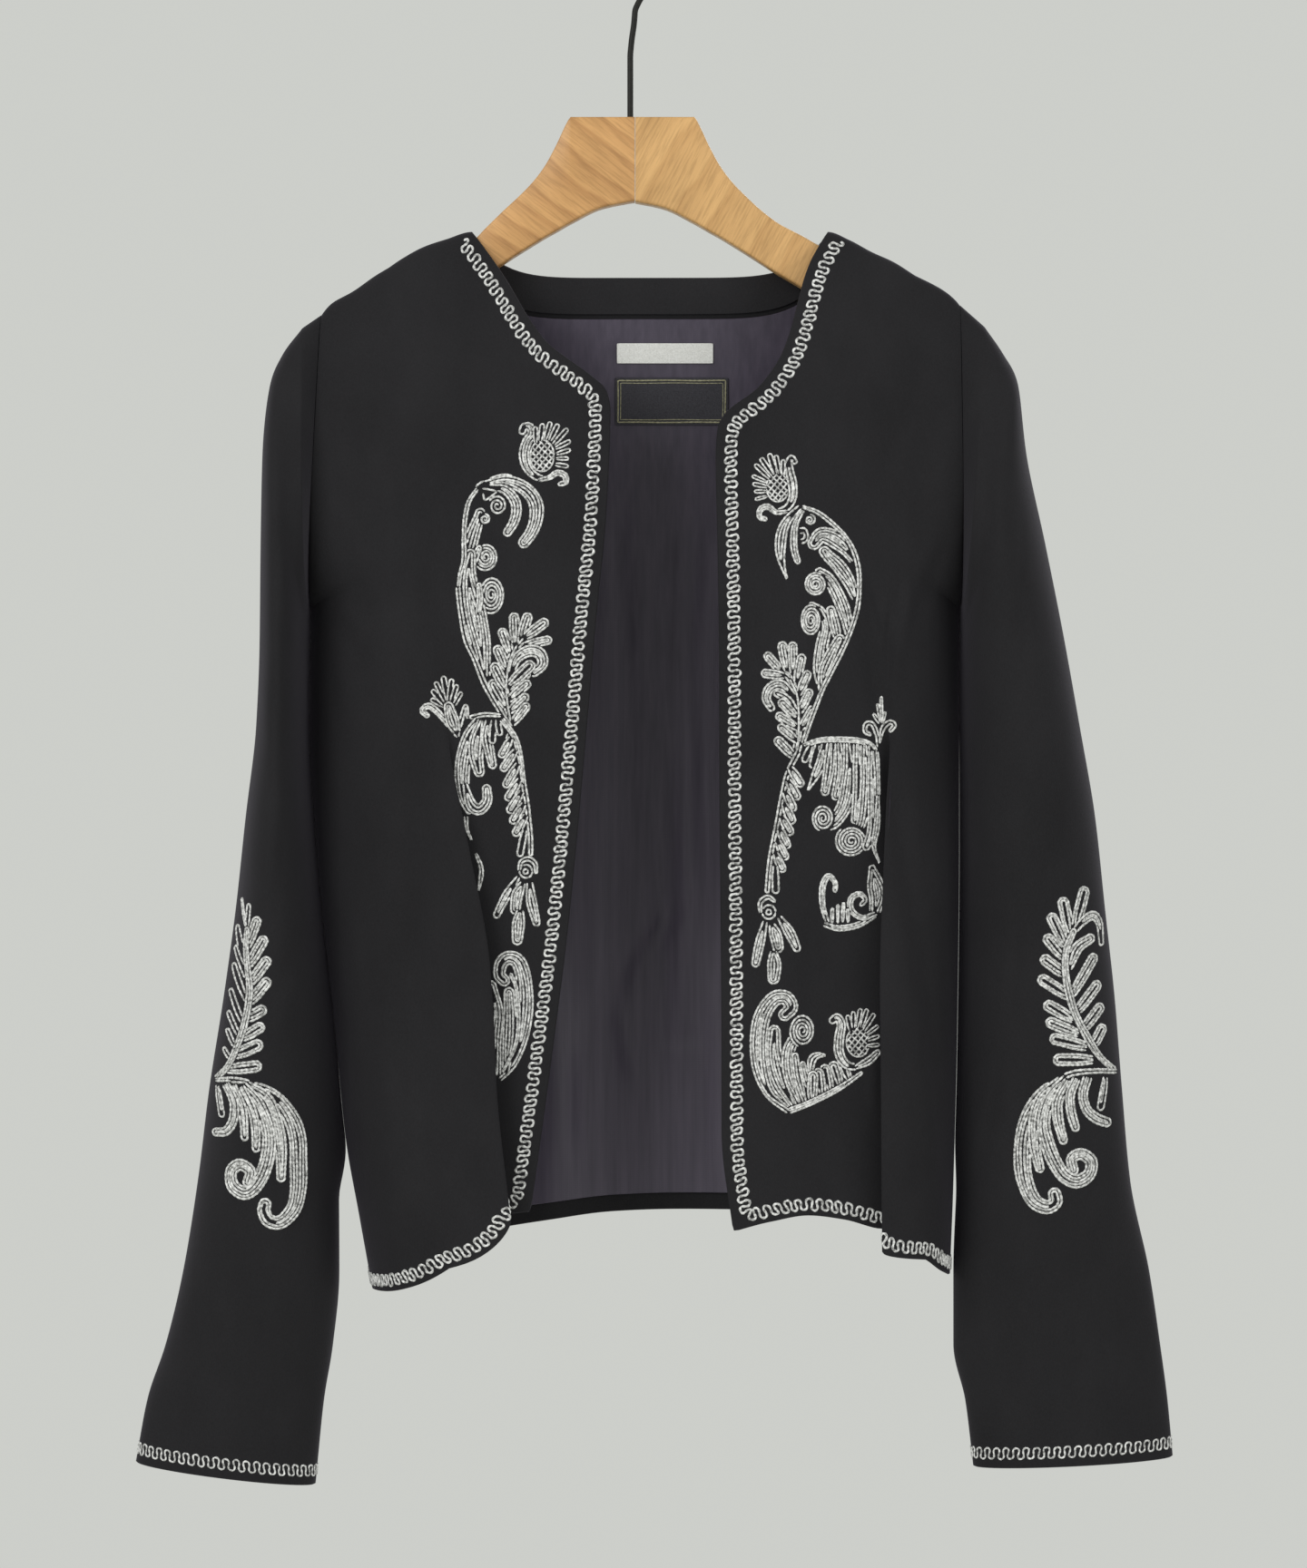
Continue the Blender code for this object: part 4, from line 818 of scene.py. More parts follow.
def new_object(name, points, faces, materials, face_material=None, smooth_angle=50.0):
    """A mesh object from points in millimetres, with its faces turned outwards."""
    mesh = bpy.data.meshes.new(name)
    faces = faces.tolist() if hasattr(faces, "tolist") else faces
    mesh.from_pydata((np.asarray(points) * MM).tolist(), [], faces)
    for finish in materials:
        mesh.materials.append(finish)
    if face_material is not None:
        mesh.polygons.foreach_set("material_index", np.asarray(face_material, np.int32))
    turn_outwards(mesh)
    mesh.shade_smooth()
    mesh.set_sharp_from_angle(angle=math.radians(smooth_angle))
    made = bpy.data.objects.new(name, mesh)
    bpy.context.scene.collection.objects.link(made)
    return made


def cloth_piece(name, slot, node, outer, normals, thickness, materials, inner_material=None,
                closed_around=False):
    """A wall of cloth below a grid of points, with rounded rims. inner_material has an index per quad."""
    rows, columns = outer.shape[:2]
    count = rows * columns
    index = np.arange(count).reshape(rows, columns)
    rims = [(index[0], index[1]), (index[-1], index[-2])]
    if not closed_around:
        rims += [(index[:, 0], index[:, 1]), (index[:, -1], index[:, -2])]
    inner = (outer - normals * thickness).reshape(-1, 3)
    outer, normals = outer.reshape(-1, 3), normals.reshape(-1, 3)
    points = [outer, inner]
    faces = [grid_faces(rows, columns, closed_around),
             grid_faces(rows, columns, closed_around, count)[:, ::-1]]
    inner_quads = slice(len(faces[0]), 2 * len(faces[0]))
    for edge, neighbour in rims:
        away = unit(outer[edge] - outer[neighbour]) * thickness * RIM_BULGE
        if not closed_around:
            away[[0, -1]] = 0.0
        numbers = sum(len(p) for p in points) + np.arange(len(edge))
        points.append(outer[edge] - normals[edge] * thickness / 2 + away)
        last = len(edge) if closed_around else -1
        for low, high in ((edge, numbers), (numbers, edge + count)):
            strip = np.stack([low, np.roll(low, -1), np.roll(high, -1), high], axis=-1)
            faces.append(strip[:last])
    quads = np.concatenate(faces)
    face_material = np.zeros(len(quads), int)
    if inner_material is not None:
        face_material[inner_quads] = inner_material.ravel()
    made = new_object(name, np.concatenate(points), quads, materials, face_material)
    turn_outwards(made.data, WELD_DISTANCE)
    finish_piece(made, slot, node)


# Materials

def new_material(name, colour, roughness, **inputs):
    made = bpy.data.materials.new(name)
    made.use_nodes = True
    shader = made.node_tree.nodes["Principled BSDF"]
    shader.inputs["Base Color"].default_value = (*colour, 1.0)
    shader.inputs["Roughness"].default_value = roughness
    for key, value in inputs.items():
        shader.inputs[key.replace("_", " ")].default_value = value
    return made, made.node_tree, shader


def add(tree, kind, links=(), **values):
    """A shader node with its settings or sockets set by name, and links as (socket, output)."""
    node = tree.nodes.new("ShaderNode" + kind)
    for key, value in values.items():
        if hasattr(node, key):
            setattr(node, key, value)
        else:
            node.inputs[key.replace("_", " ")].default_value = value
    for socket, output in links:
        tree.links.new(node.inputs[socket], output)
    return node


def noise(tree, place, scale, detail, roughness):
    fog = add(tree, "TexNoise", [("Vector", place)], Scale=scale, Detail=detail, Roughness=roughness)
    return fog.outputs["Fac"]


def stretched(tree, scale=(1.0, 1.0, 1.0), rotation=(0, 0, 0)):
    """Object coordinates, turned and scaled."""
    place = add(tree, "TexCoord").outputs["Object"]
    return add(tree, "Mapping", [("Vector", place)], Scale=scale, Rotation=rotation).outputs["Vector"]


def ramp(tree, value, stops):
    """A colour ramp through (position, colour) stops."""
    node = add(tree, "ValToRGB", [("Fac", value)])
    elements = node.color_ramp.elements
    while len(elements) < len(stops):
        elements.new(0.5)
    for element, (position, colour) in zip(elements, stops):
        element.position = position
        element.color = (*colour, 1.0)
    return node.outputs["Color"]


def colour_by(tree, shader, value, stops):
    """Colours a finish by a value, through (position, colour) stops."""
    tree.links.new(shader.inputs["Base Color"], ramp(tree, value, stops))


def bump(tree, shader, height, strength, distance_mm):
    node = add(tree, "Bump", [("Height", height)], Strength=strength, Distance=distance_mm * MM)
    tree.links.new(shader.inputs["Normal"], node.outputs["Normal"])


VELVET_TINT = (1.0, 0.97, 1.06)
VELVET_TONES = (0.0192, 0.0150, 0.0235)     # plain, and where the nap lies darker and lighter


def velvet_material(name="black_velvet", painted_lightening=1.0):
    """Black silk velvet: a nap of fine tufts, with slow patches where it lies another way."""
    # painted_lightening scales every tone: above 1 it makes a lighter copy of the same velvet, as painted
    # light
    plain, low, high = (tuple(tone * painted_lightening * part for part in VELVET_TINT) for tone in VELVET_TONES)
    made, tree, shader = new_material(
        name, plain, 0.92, Sheen_Weight=0.13, Sheen_Roughness=0.4, Sheen_Tint=(0.66, 0.60, 0.76, 1.0),
        Specular_IOR_Level=0.10)
    place = stretched(tree, (1.0, 1.0, 0.55))
    tufts = noise(tree, place, 1500.0, 2.0, 0.7)
    patches = noise(tree, place, 26.0, 4.0, 0.55)
    mixed = add(tree, "Math", [(0, tufts), (1, patches)], operation="ADD").outputs[0]
    half = add(tree, "Math", [(0, mixed)], operation="MULTIPLY")
    half.inputs[1].default_value = 0.5
    colour_by(tree, shader, half.outputs[0], ((0.30, low), (0.70, high)))
    bump(tree, shader, tufts, 0.35, 0.35)
    return made


def weave_height(tree, place, pitch_mm):
    """Plain weave: threads over and under, along X and Z."""
    scale = 1.0 / (pitch_mm * MM) / 3.1416 / 2
    over, under = (add(tree, "TexWave", [("Vector", place)], bands_direction=way, Scale=scale).outputs["Fac"]
                   for way in ("X", "Z"))
    return add(tree, "Math", [(0, over), (1, under)], operation="MULTIPLY").outputs[0]


def lining_material():
    """Thin plain-woven lining with a soft shine and faint slubs."""
    made, tree, shader = new_material(
        "lining_cloth", (0.060, 0.050, 0.072), 0.42, Specular_IOR_Level=0.35, Sheen_Weight=0.10,
        Sheen_Roughness=0.4, Sheen_Tint=(0.80, 0.72, 0.95, 1.0))
    slubs = noise(tree, stretched(tree, (260.0, 260.0, 12.0)), 1.0, 3.0, 0.6)
    colour_by(tree, shader, slubs, ((0.3, (0.060, 0.051, 0.074)), (0.7, (0.086, 0.073, 0.103))))
    bump(tree, shader, weave_height(tree, stretched(tree), 0.45), 0.3, 0.08)
    return made


def thread_material(name, stops):
    """Twisted thread whose colour is speckled stitch by stitch by noise: the thread's own tone, with painted
    glints and painted shade over it.
    """
    _, tree, shader = new_material(name, stops[-1][1], 0.55, Specular_IOR_Level=0.4, Sheen_Weight=0.15)
    place = stretched(tree)
    # painted glints and shade: the colour swings with the noise from dark to light across each stitch
    colour_by(tree, shader, noise(tree, place, 620.0, 2.0, 0.6), stops)
    bump(tree, shader, noise(tree, place, 2600.0, 1.0, 0.5), 0.5, 0.15)


def label_material(name, dark, light, pitch_mm=0.5):
    """Woven tape with fine ribs across it."""
    made, tree, shader = new_material(name, light, 0.7, Specular_IOR_Level=0.3, Sheen_Weight=0.1)
    place = stretched(tree)
    colour_by(tree, shader, noise(tree, place, 1300.0, 2.0, 0.6), ((0.3, dark), (0.7, light)))
    bump(tree, shader, weave_height(tree, place, pitch_mm), 0.4, 0.1)
    return made


def wood_material(name, pale, dark, turn, bands, ring_scale):
    """Lacquered pale wood: wavy growth bands, fine pores along the grain."""
    made, tree, shader = new_material(name, pale, 0.42, Specular_IOR_Level=0.45, Coat_Weight=0.18,
                                      Coat_Roughness=0.28)
    along = stretched(tree, rotation=(0.0, turn, 0.0))
    long = add(tree, "Mapping", [("Vector", along)], Scale=ring_scale).outputs["Vector"]
    rings = add(tree, "TexWave", [("Vector", long)], bands_direction="Z", wave_profile="SAW", Scale=bands,
                Distortion=5.0, Detail=3.0, Detail_Scale=1.2, Detail_Roughness=0.55).outputs["Fac"]
    pores = add(tree, "Mapping", [("Vector", along)], Scale=(60.0, 500.0, 900.0)).outputs["Vector"]
    pores = noise(tree, pores, 1.0, 3.0, 0.65)
    clouds = noise(tree, along, 34.0, 2.0, 0.5)
    paler, darker = (tuple((share * p + (3 - share) * d) / 3 for p, d in zip(pale, dark))
                     for share in (2, 1))
    colour = ramp(tree, rings, ((0.0, pale), (0.62, paler), (0.86, darker), (1.0, pale)))
    fine = ramp(tree, pores, ((0.36, (0.72, 0.70, 0.66)), (0.56, (1.0, 1.0, 1.0))))
    cloudy = ramp(tree, clouds, ((0.3, (0.90, 0.89, 0.87)), (0.7, (1.05, 1.05, 1.05))))
    for shade, share in ((fine, 0.75), (cloudy, 1.0)):
        mixed = add(tree, "MixRGB", [("Color1", colour), ("Color2", shade)], blend_type="MULTIPLY", Fac=share)
        colour = mixed.outputs[0]
    tree.links.new(shader.inputs["Base Color"], colour)
    bump(tree, shader, pores, 0.12, 0.12)
    return made


def wire_material():
    """Black lacquered wire with faint scuffs."""
    made, tree, shader = new_material("black_wire", (0.012, 0.012, 0.010), 0.5, Specular_IOR_Level=0.2)
    scuffs = noise(tree, stretched(tree), 380.0, 4.0, 0.7)
    colour_by(tree, shader, scuffs, ((0.35, (0.009, 0.009, 0.008)), (0.75, (0.020, 0.019, 0.016))))
    roughness = add(tree, "MapRange", [("Value", scuffs)], To_Min=0.38, To_Max=0.55).outputs["Result"]
    tree.links.new(shader.inputs["Roughness"], roughness)
    return made


# The jacket's pieces

def front_grid(side):
    """A front's columns and rows, with the points and normals of its outer surface."""
    across = np.linspace(0.0, 1.0, FRONT_COLUMNS)
    fold_start, fold_end = SIDES[side]["fold_span"]
    weight = np.where((across > fold_start) & (across < fold_end), FOLD_DENSITY, 1.0)[:-1]
    across = np.interp(across, np.append(0, np.cumsum(weight)) / np.sum(weight), across)
    progress = panel_progress()
    points = front_surface(side, *np.meshgrid(across, progress))
    points[0, :, 1] = -SEAM / 2
    normals = normals_of(points)
    normals = normals * np.sign(-normals[len(progress) // 4, 2, 1])
    normals[0, :, 1] = 0.0
    normals[progress >= underarm_progress(side), -1, 1] = 0.0
    return across, progress, points, unit(normals)


def panel_progress():
    """Rows of a panel: close together over the shoulder, even below it. The first two are level: the seam on
    the ridge and the roof's edge beside it."""
    near = progress_at(np.linspace(0.0, SHOULDER_SPAN, SHOULDER_SPAN_ROWS, endpoint=False))
    return np.append(near, np.linspace(progress_at(SHOULDER_SPAN), 1.0, PANEL_ROWS - len(near)))


def finish_piece(piece, slot, *nodes):
    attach(piece, "root")
    if nodes:
        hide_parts(*nodes)


# Every sheet with its flat size, of what shows, in millimetres, and its area in square metres where it isn't
# a rectangle, the solids or pieces that it hangs from, and the pieces sewn to it
SHEETS = (
    ("velvet_front_left", 225.0, 565.0, 0.094, ["hanger_left"],
        ["embroidery_front_left", "border_front_left"]),
    ("velvet_sleeve_left", 410.0, 635.0, 0.150, ["back", "front_left"],
        ["embroidery_sleeve_left", "border_cuff_left"]),
    ("velvet_front_right", 230.0, 565.0, 0.089, ["hanger_right"],
        ["embroidery_front_right", "border_front_right"]),
    ("velvet_sleeve_right", 410.0, 635.0, 0.153, ["back", "front_right"],
        ["embroidery_sleeve_right", "border_cuff_right"]),
    ("velvet_back", 430.0, 560.0, 0.204, ["hanger_left", "hanger_right"], ["border_back"]),
    ("velvet_neck_facing", 166.0, 26.0, 0.0034, ["back"], []),
    ("back_lining", 420.0, 535.0, 0.170, ["back"], []),
    ("blank_label_white", 51.5, 10.4, None, ["back_lining"], []),
    ("blank_label_black", 60.6, 25.0, None, ["back_lining"], ["blank_label_border"]),
)


def declare_sheets():
    pieces = bpy.data.objects
    for name, width, length, area, rests_on, sewn in SHEETS:
        [pieces[other] for other in sewn]
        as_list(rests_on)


def make_front(side, velvet, lining):
    across, progress, points, normals = front_grid(side)
    inner = np.ones((len(progress) - 1, len(across) - 1), int)
    inner[:, (across[1:] + across[:-1]) / 2 < FRONT_FACING] = 0
    inner[progress[1:] > 1.0 - HEM_BAND / DROPS[-1]] = 0
    cloth_piece("velvet_front_" + side, "velvet", "front_" + side, points, normals, VELVET,
                [velvet, lining], inner)


def back_grid(small=BACK_CREASES):
    """The back's columns and rows, with the points and normals of its outer surface."""
    width = SHOULDER_LINE[-1][0] - SHOULDER_LINE[0][0]
    neck_left, neck_right = ((x - SHOULDER_LINE[0][0]) / width for x in (NECK_LEFT, NECK_RIGHT))
    corner = NECK_CORNER / width
    shoulder_columns = BACK_COLUMNS // 4
    neck_columns = BACK_COLUMNS - 2 * (shoulder_columns + NECK_CORNER_COLUMNS)
    shares = np.linspace(0, 1, NECK_CORNER_COLUMNS + 2)[1:-1]
    across = np.concatenate([
        np.linspace(0.0, neck_left, shoulder_columns),
        neck_left + corner * shares,
        np.linspace(neck_left + corner, neck_right - corner, neck_columns),
        neck_right - corner * shares[::-1],
        np.linspace(neck_right, 1.0, shoulder_columns)])
    progress = panel_progress()
    grid_across, grid_progress = np.meshgrid(across, progress)
    start = back_neck(grid_across)
    points = back_surface(grid_across, start + (1.0 - start) * grid_progress, small)
    on_shoulder = back_neck(across) <= 0
    points[0, on_shoulder, 1] = SEAM / 2
    normals = normals_of(points)
    normals = normals * np.sign(normals[len(progress) // 2, len(across) // 2, 1])
    normals[0, on_shoulder, 1] = 0.0
    for column in (0, -1):
        normals[progress >= underarm_progress("left"), column, 1] = 0.0
    return across, progress, points, unit(normals)


def make_back(velvet, lining):
    """The back with the facing inside its neck, and its lining between the facing and the hem."""
    across, progress, points, normals = back_grid()
    cloth_piece("velvet_back", "velvet", "back", points, normals, VELVET, [velvet])
    inside = VELVET + SEAM
    facing_row = int(np.searchsorted(progress, FACING_PROGRESS))
    hem_row = int(np.searchsorted(progress, 1.0 - HEM_BAND / DROPS[-1]))
    neck = np.flatnonzero(back_neck(across) > FACING_NECK_SHARE * BACK_NECK_DROP)
    part = slice(1, facing_row), slice(neck[0], neck[-1] + 1)
    # painted light: the facing gets a lighter copy of the velvet, to lift the shade that falls inside the
    # neck
    lit = velvet_material("facing_velvet", FACING_PAINTED_LIGHT)
    cloth_piece("velvet_neck_facing", "velvet", "neck_facing", points[part] - normals[part] * inside,
                normals[part], FACING, [lit])
    part = slice(facing_row, hem_row + 1), slice(2, -2)
    push = back_grid(BACK_CREASES + LINING_CREASES)[2][part] - points[part]
    lined = points[part] - normals[part] * (inside + LINING_EASE) + push * LINING_PUSH
    cloth_piece("back_lining", "lining", "lining_back", lined, normals[part], LINING, [lining])


def sleeve_grid(side):
    """Points and normals of a sleeve's outer surface, round it and down it."""
    turn = np.arange(SLEEVE_COLUMNS) / SLEEVE_COLUMNS
    points = sleeve_surface(side, *np.meshgrid(turn, np.linspace(0.0, 1.0, SLEEVE_ROWS)))
    normals = normals_of(points, closed_around=True)
    normals = normals * np.sign(np.sum((points - points.mean(axis=1, keepdims=True)) * normals))
    first = normals[0]
    first[:, 0] = np.where(first[:, 0] * SIDES[side]["inward"] < 0, 0.0, first[:, 0])
    return points, unit(normals)


def make_sleeve(side, velvet, lining):
    points, normals = sleeve_grid(side)
    inner = np.ones((SLEEVE_ROWS - 1, SLEEVE_COLUMNS), int)
    inner[-CUFF_VELVET_ROWS:] = 0
    cloth_piece("velvet_sleeve_" + side, "velvet", "sleeve_" + side, points, normals, VELVET,
                [velvet, lining], inner, closed_around=True)


def make_label(colour, size, finish):
    """A blank label on the lining, and the chart of its face."""
    middle_x, middle_z, width, height = size
    x, z = np.meshgrid(np.linspace(-0.5, 0.5, LABEL_GRID[0]) * width + middle_x,
                       np.linspace(0.5, -0.5, LABEL_GRID[1]) * height + middle_z)
    points = back_surface(*back_place(x, z))
    normals = normals_of(points)
    normals = normals * np.sign(normals[1, 1, 1])
    inside = VELVET + SEAM + LINING_EASE + LINING + LABEL_GAP
    cloth_piece("blank_label_" + colour, "label_" + colour, "label_" + colour,
                points - normals * inside, normals, LABEL, [finish])
    return Chart(points - normals * (inside + LABEL), -normals, x, z)


def make_label_border(chart, size):
    """Two woven lines round the black label, the outer one thicker."""
    middle_x, middle_z, width, height = size
    rows = []
    for inset, half_width in LABEL_LINES:
        x, z = width / 2 - inset, height / 2 - inset
        corners = ((-x, -z), (x, -z), (x, z), (-x, z), (-x, -z))
        line = np.array(corners) + (middle_x, middle_z)
        rows.append((chart, resampled(line, CURVE_STEP), half_width))
    thread_piece("blank_label_border", rows, THREAD_STEP, "pale_gold_thread", "label_black")


# Embroidery: rows of thread laid on the cloth

class Chart:
    """Flat coordinates over a grid of cloth: s across and t up, both in millimetres."""

    def __init__(self, points, normals, s, t):
        if s[-1, 0] > s[-1, -1]:
            points, normals, s, t = (a[:, ::-1] for a in (points, normals, s, t))
        self.points, self.normals, self.s, self.t = points, normals, s, t

    def line(self, rows, columns):
        """A row or a column, or a part of one, as a flat line."""
        return np.stack([self.s[rows, columns], self.t[rows, columns]], axis=1)

    def places(self, line):
        """Row and column, with fractions, of each (s, t)."""
        rows, columns = self.s.shape
        row = np.full(len(line), rows / 2)
        for _ in range(PLACE_ROUNDS):
            low = np.clip(row.astype(int), 0, rows - 2)
            part = (row - low)[:, None]
            column = place_in_rows(self.s[low] * (1 - part) + self.s[low + 1] * part, line[:, 0])
            left = np.clip(column.astype(int), 0, columns - 2)
            part = (column - left)[:, None]
            row = place_in_rows(-(self.t[:, left].T * (1 - part) + self.t[:, left + 1].T * part), -line[:, 1])
        return row, column

    def laid(self, line):
        """The parts of a flat line that fall on the cloth, as points and normals in space."""
        rows, columns = self.s.shape
        row, column = self.places(line)
        on_cloth = (row >= 0) & (row <= rows - 1) & (column >= 0) & (column <= columns - 1)
        low = np.clip(row.astype(int), 0, rows - 2)
        left = np.clip(column.astype(int), 0, columns - 2)
        u, v = (row - low)[:, None], (column - left)[:, None]
        found = []
        for grid in (self.points, self.normals):
            upper, lower = (grid[i, left] * (1 - v) + grid[i, left + 1] * v for i in (low, low + 1))
            found.append(upper * (1 - u) + lower * u)
        for piece in runs_of(on_cloth):
            yield found[0][piece], unit(found[1][piece])


def runs_of(free):
    """Runs of at least four neighbours that are all true, as arrays of their numbers."""
    cuts = np.flatnonzero(np.diff(free.astype(int))) + 1
    return [run for run in np.split(np.arange(len(free)), cuts) if free[run[0]] and len(run) > 3]


def place_in_rows(tables, values):
    """Where each value falls in its own rising row of a table, as an index with a fraction."""
    last = tables.shape[1] - 1
    below = np.clip((tables <= values[:, None]).sum(axis=1) - 1, 0, last - 1)
    each = np.arange(len(values))
    start, end = tables[each, below], tables[each, below + 1]
    return np.clip(below + (values - start) / np.maximum(end - start, 1e-6), -1.0, last + 1.0)


def spread_s(points, anchor, least_share=1.0):
    """s over a grid: x at the anchor column, then the way along the cloth, or x itself where it's longer."""
    step = np.diff(points[..., :2], axis=1)
    step = np.maximum(np.abs(step[..., 0]), least_share * np.hypot(step[..., 0], step[..., 1]))
    run = np.concatenate([np.zeros((len(points), 1)), np.cumsum(step, axis=1)], axis=1)
    way = np.sign(points[-1, -1, 0] - points[-1, 0, 0])
    return points[:, anchor:anchor + 1, 0] + way * (run - run[:, anchor:anchor + 1])


def run_along(line):
    """The way along a flat line from its start to each of its points."""
    return np.append(0, np.cumsum(np.hypot(*np.diff(line, axis=0).T)))


def points_at(at, run, line):
    """Points, or other pairs, of a flat line at distances along it."""
    return np.stack([np.interp(at, run, line[:, k]) for k in (0, 1)], axis=1)


def resampled(line, step):
    line = np.asarray(line, float)
    run = run_along(line)
    return points_at(np.linspace(0, run[-1], max(int(round(run[-1] / step)), 2) + 1), run, line)


def softened(line, times):
    for _ in range(times):
        line[1:-1] = (line[:-2] + 2 * line[1:-1] + line[2:]) / 4
    return line


def sideways(line):
    """Unit vectors along a flat line and to its left."""
    tangent = unit(np.gradient(line, axis=0))
    return tangent, np.stack([-tangent[:, 1], tangent[:, 0]], axis=1)


def circle(angle):
    return np.stack([np.cos(angle), np.sin(angle)], axis=1)


def curve_through(places):
    """A smooth flat line through given places."""
    p = np.asarray(places, float)
    p = np.concatenate([[2 * p[0] - p[1]], p, [2 * p[-1] - p[-2]]])
    t = np.linspace(0, 1, 12, endpoint=False)[:, None]
    pieces = []
    for a, b, c, d in zip(p[:-3], p[1:-2], p[2:-1], p[3:]):
        pieces.append(b + (c - a) * t / 2 + (2 * a - 5 * b + 4 * c - d) * t ** 2 / 2
                      + (3 * b - a - 3 * c + d) * t ** 3 / 2)
    pieces.append(p[-2:-1])
    return resampled(np.concatenate(pieces), CURVE_STEP)


def band(places, widths):
    """The middle line of a curved band and half its width along it. widths: base, middle, tip."""
    line = curve_through(places)
    t = np.linspace(0, 1, len(line))
    return line, smooth(((0.0, widths[0]), (0.5, widths[1]), (1.0, widths[2])), t) / 2


def band_row(line, reach, least):
    """Up one side of a line at the given reach from it, round its tip, and back down the other side."""
    tangent, side = sideways(line)
    turn = np.linspace(math.pi / 2, -math.pi / 2, TIP_POINTS)[1:-1, None]
    inside = np.flatnonzero(reach > least)
    span = slice(inside[0], inside[-1] + 1)
    offset = side[span] * reach[span, None]
    last = inside[-1]
    cap = line[last] + reach[last] * (np.cos(turn) * tangent[last] + np.sin(turn) * side[last])
    return np.concatenate([line[span] + offset, cap, (line[span] - offset)[::-1]])


def plume(places, widths, pitch=PLUME_PITCH, filled=True):
    """Nested rows round a curved band, closed by round turns at its tip. widths: base, middle, tip."""
    line, half = band(places, widths)
    rows = []
    level = pitch / 2
    while half.max() - level > NARROWEST_ROW * pitch:
        rows.append(band_row(line, half - level, ROW_ENDS * pitch))
        level += pitch
    spare = half - (level - pitch / 2)
    if filled and spare.max() > NARROWEST_MIDDLE * pitch:
        inside = np.flatnonzero(spare > ROW_ENDS * pitch)
        rows.append(line[inside[0]:inside[-1] + 1])
    return rows


def spiral(centre, radii, turns, start, way):
    """One row wound inwards. start is its outer end's angle; way is 1 anticlockwise, -1 clockwise."""
    share = np.linspace(0, 1, int(SPIRAL_POINTS * turns))
    angle = math.radians(start) + way * share * turns * 2 * math.pi
    return [centre + (1 - share * SPIRAL_DEPTH)[:, None] * (radii - THREAD_HALF_WIDTH) * circle(angle)]


def ring(centre, radii, count=40):
    return [centre + radii * circle(np.linspace(0, 2 * math.pi, count))]


def lattice(centre, radii):
    """An oval edge with slanting threads crossed inside it."""
    radii = radii - THREAD_HALF_WIDTH
    rows = ring(centre, radii, 60)
    t = np.linspace(-LATTICE_REACH, LATTICE_REACH, 60)[:, None]
    for slant in LATTICE_SLANTS:
        along = np.array([math.cos(slant), math.sin(slant)])
        across = np.array([-along[1], along[0]])
        for offset in np.arange(-4, 5) * LATTICE_PITCH:
            line = t * along + offset * across
            line = line[((line / radii) ** 2).sum(axis=1) < 1]
            if len(line) > 4:
                rows.append(centre + line)
    return rows


def shapes_in(spray):
    """Each shape of a spray: its kind, its sizes and its places."""
    for kind, *shapes in spray:
        count = SIZE_COUNTS[kind]
        for values in shapes:
            yield kind, np.array(values[:count], float), np.reshape(values[count:], (-1, 2)).astype(float)


def widths_along(kind, sizes):
    """Widths at base, middle and tip of a shape that lies along a line."""
    if kind == "line":
        return (2 * THREAD_HALF_WIDTH,) * 3
    if kind == "loop":
        return sizes[0] * LOOP_BASE, sizes[0], sizes[0]
    return sizes[0], sizes[1], sizes[-1]


def outline(kind, sizes, places):
    """The closed outline that a shape fills."""
    if kind in ("spiral", "ring", "lattice"):
        return ring(places[0], sizes[:2])[0]
    return band_row(*band(places, widths_along(kind, sizes)), 0.0)


def outside(line, outlines):
    """The parts of a line that lie outside closed outlines laid over it."""
    free = np.ones(len(line), bool)
    for edge in outlines:
        near = ((line > edge.min(axis=0)) & (line < edge.max(axis=0))).all(axis=1) & free
        if near.any():
            x, y = line[near, 0][:, None], line[near, 1][:, None]
            start, end = edge, np.roll(edge, -1, axis=0)
            crosses = (start[:, 1] > y) != (end[:, 1] > y)
            rise = np.where(crosses, end[:, 1] - start[:, 1], 1.0)
            at = start[:, 0] + (y - start[:, 1]) * (end[:, 0] - start[:, 0]) / rise
            free[near] = (crosses & (x < at)).sum(axis=1) % 2 == 0
    return [line[run] for run in runs_of(free)]


def spray_rows(spray, thread):
    """The rows of a spray with half their widths, each shape cut where later ones lie over it."""
    shapes = list(shapes_in(spray))
    outlines = [outline(*shape) for shape in shapes]
    found = []
    for number, shape in enumerate(shapes):
        rows, half_width = thread_rows(*shape)
        for row in rows:
            parts = outside(resampled(row, ROW_STEP), outlines[number + 1:])
            found += [(part, half_width * thread) for part in parts]
    return found


def thread_rows(kind, sizes, places):
    """The rows of one shape, and half their width."""
    if kind == "line":
        return [curve_through(places)], THREAD_HALF_WIDTH
    if kind == "lattice":
        return lattice(places[0], sizes), FINE_HALF_WIDTH
    if kind == "ring":
        return ring(places[0], sizes), THREAD_HALF_WIDTH
    if kind == "spiral":
        return spiral(places[0], sizes[:2], *sizes[2:]), THREAD_HALF_WIDTH
    widths = widths_along(kind, sizes)
    if kind == "loop":
        return plume(places, widths, 2 * FINE_HALF_WIDTH)[:1], FINE_HALF_WIDTH
    if kind == "lobe":
        return plume(places, widths, LOBE_PITCH, filled=False), THREAD_HALF_WIDTH
    return plume(places, widths), THREAD_HALF_WIDTH


def slow_waves(at, waves):
    return sum(size * np.sin(at * rate + start) for size, rate, start in waves)


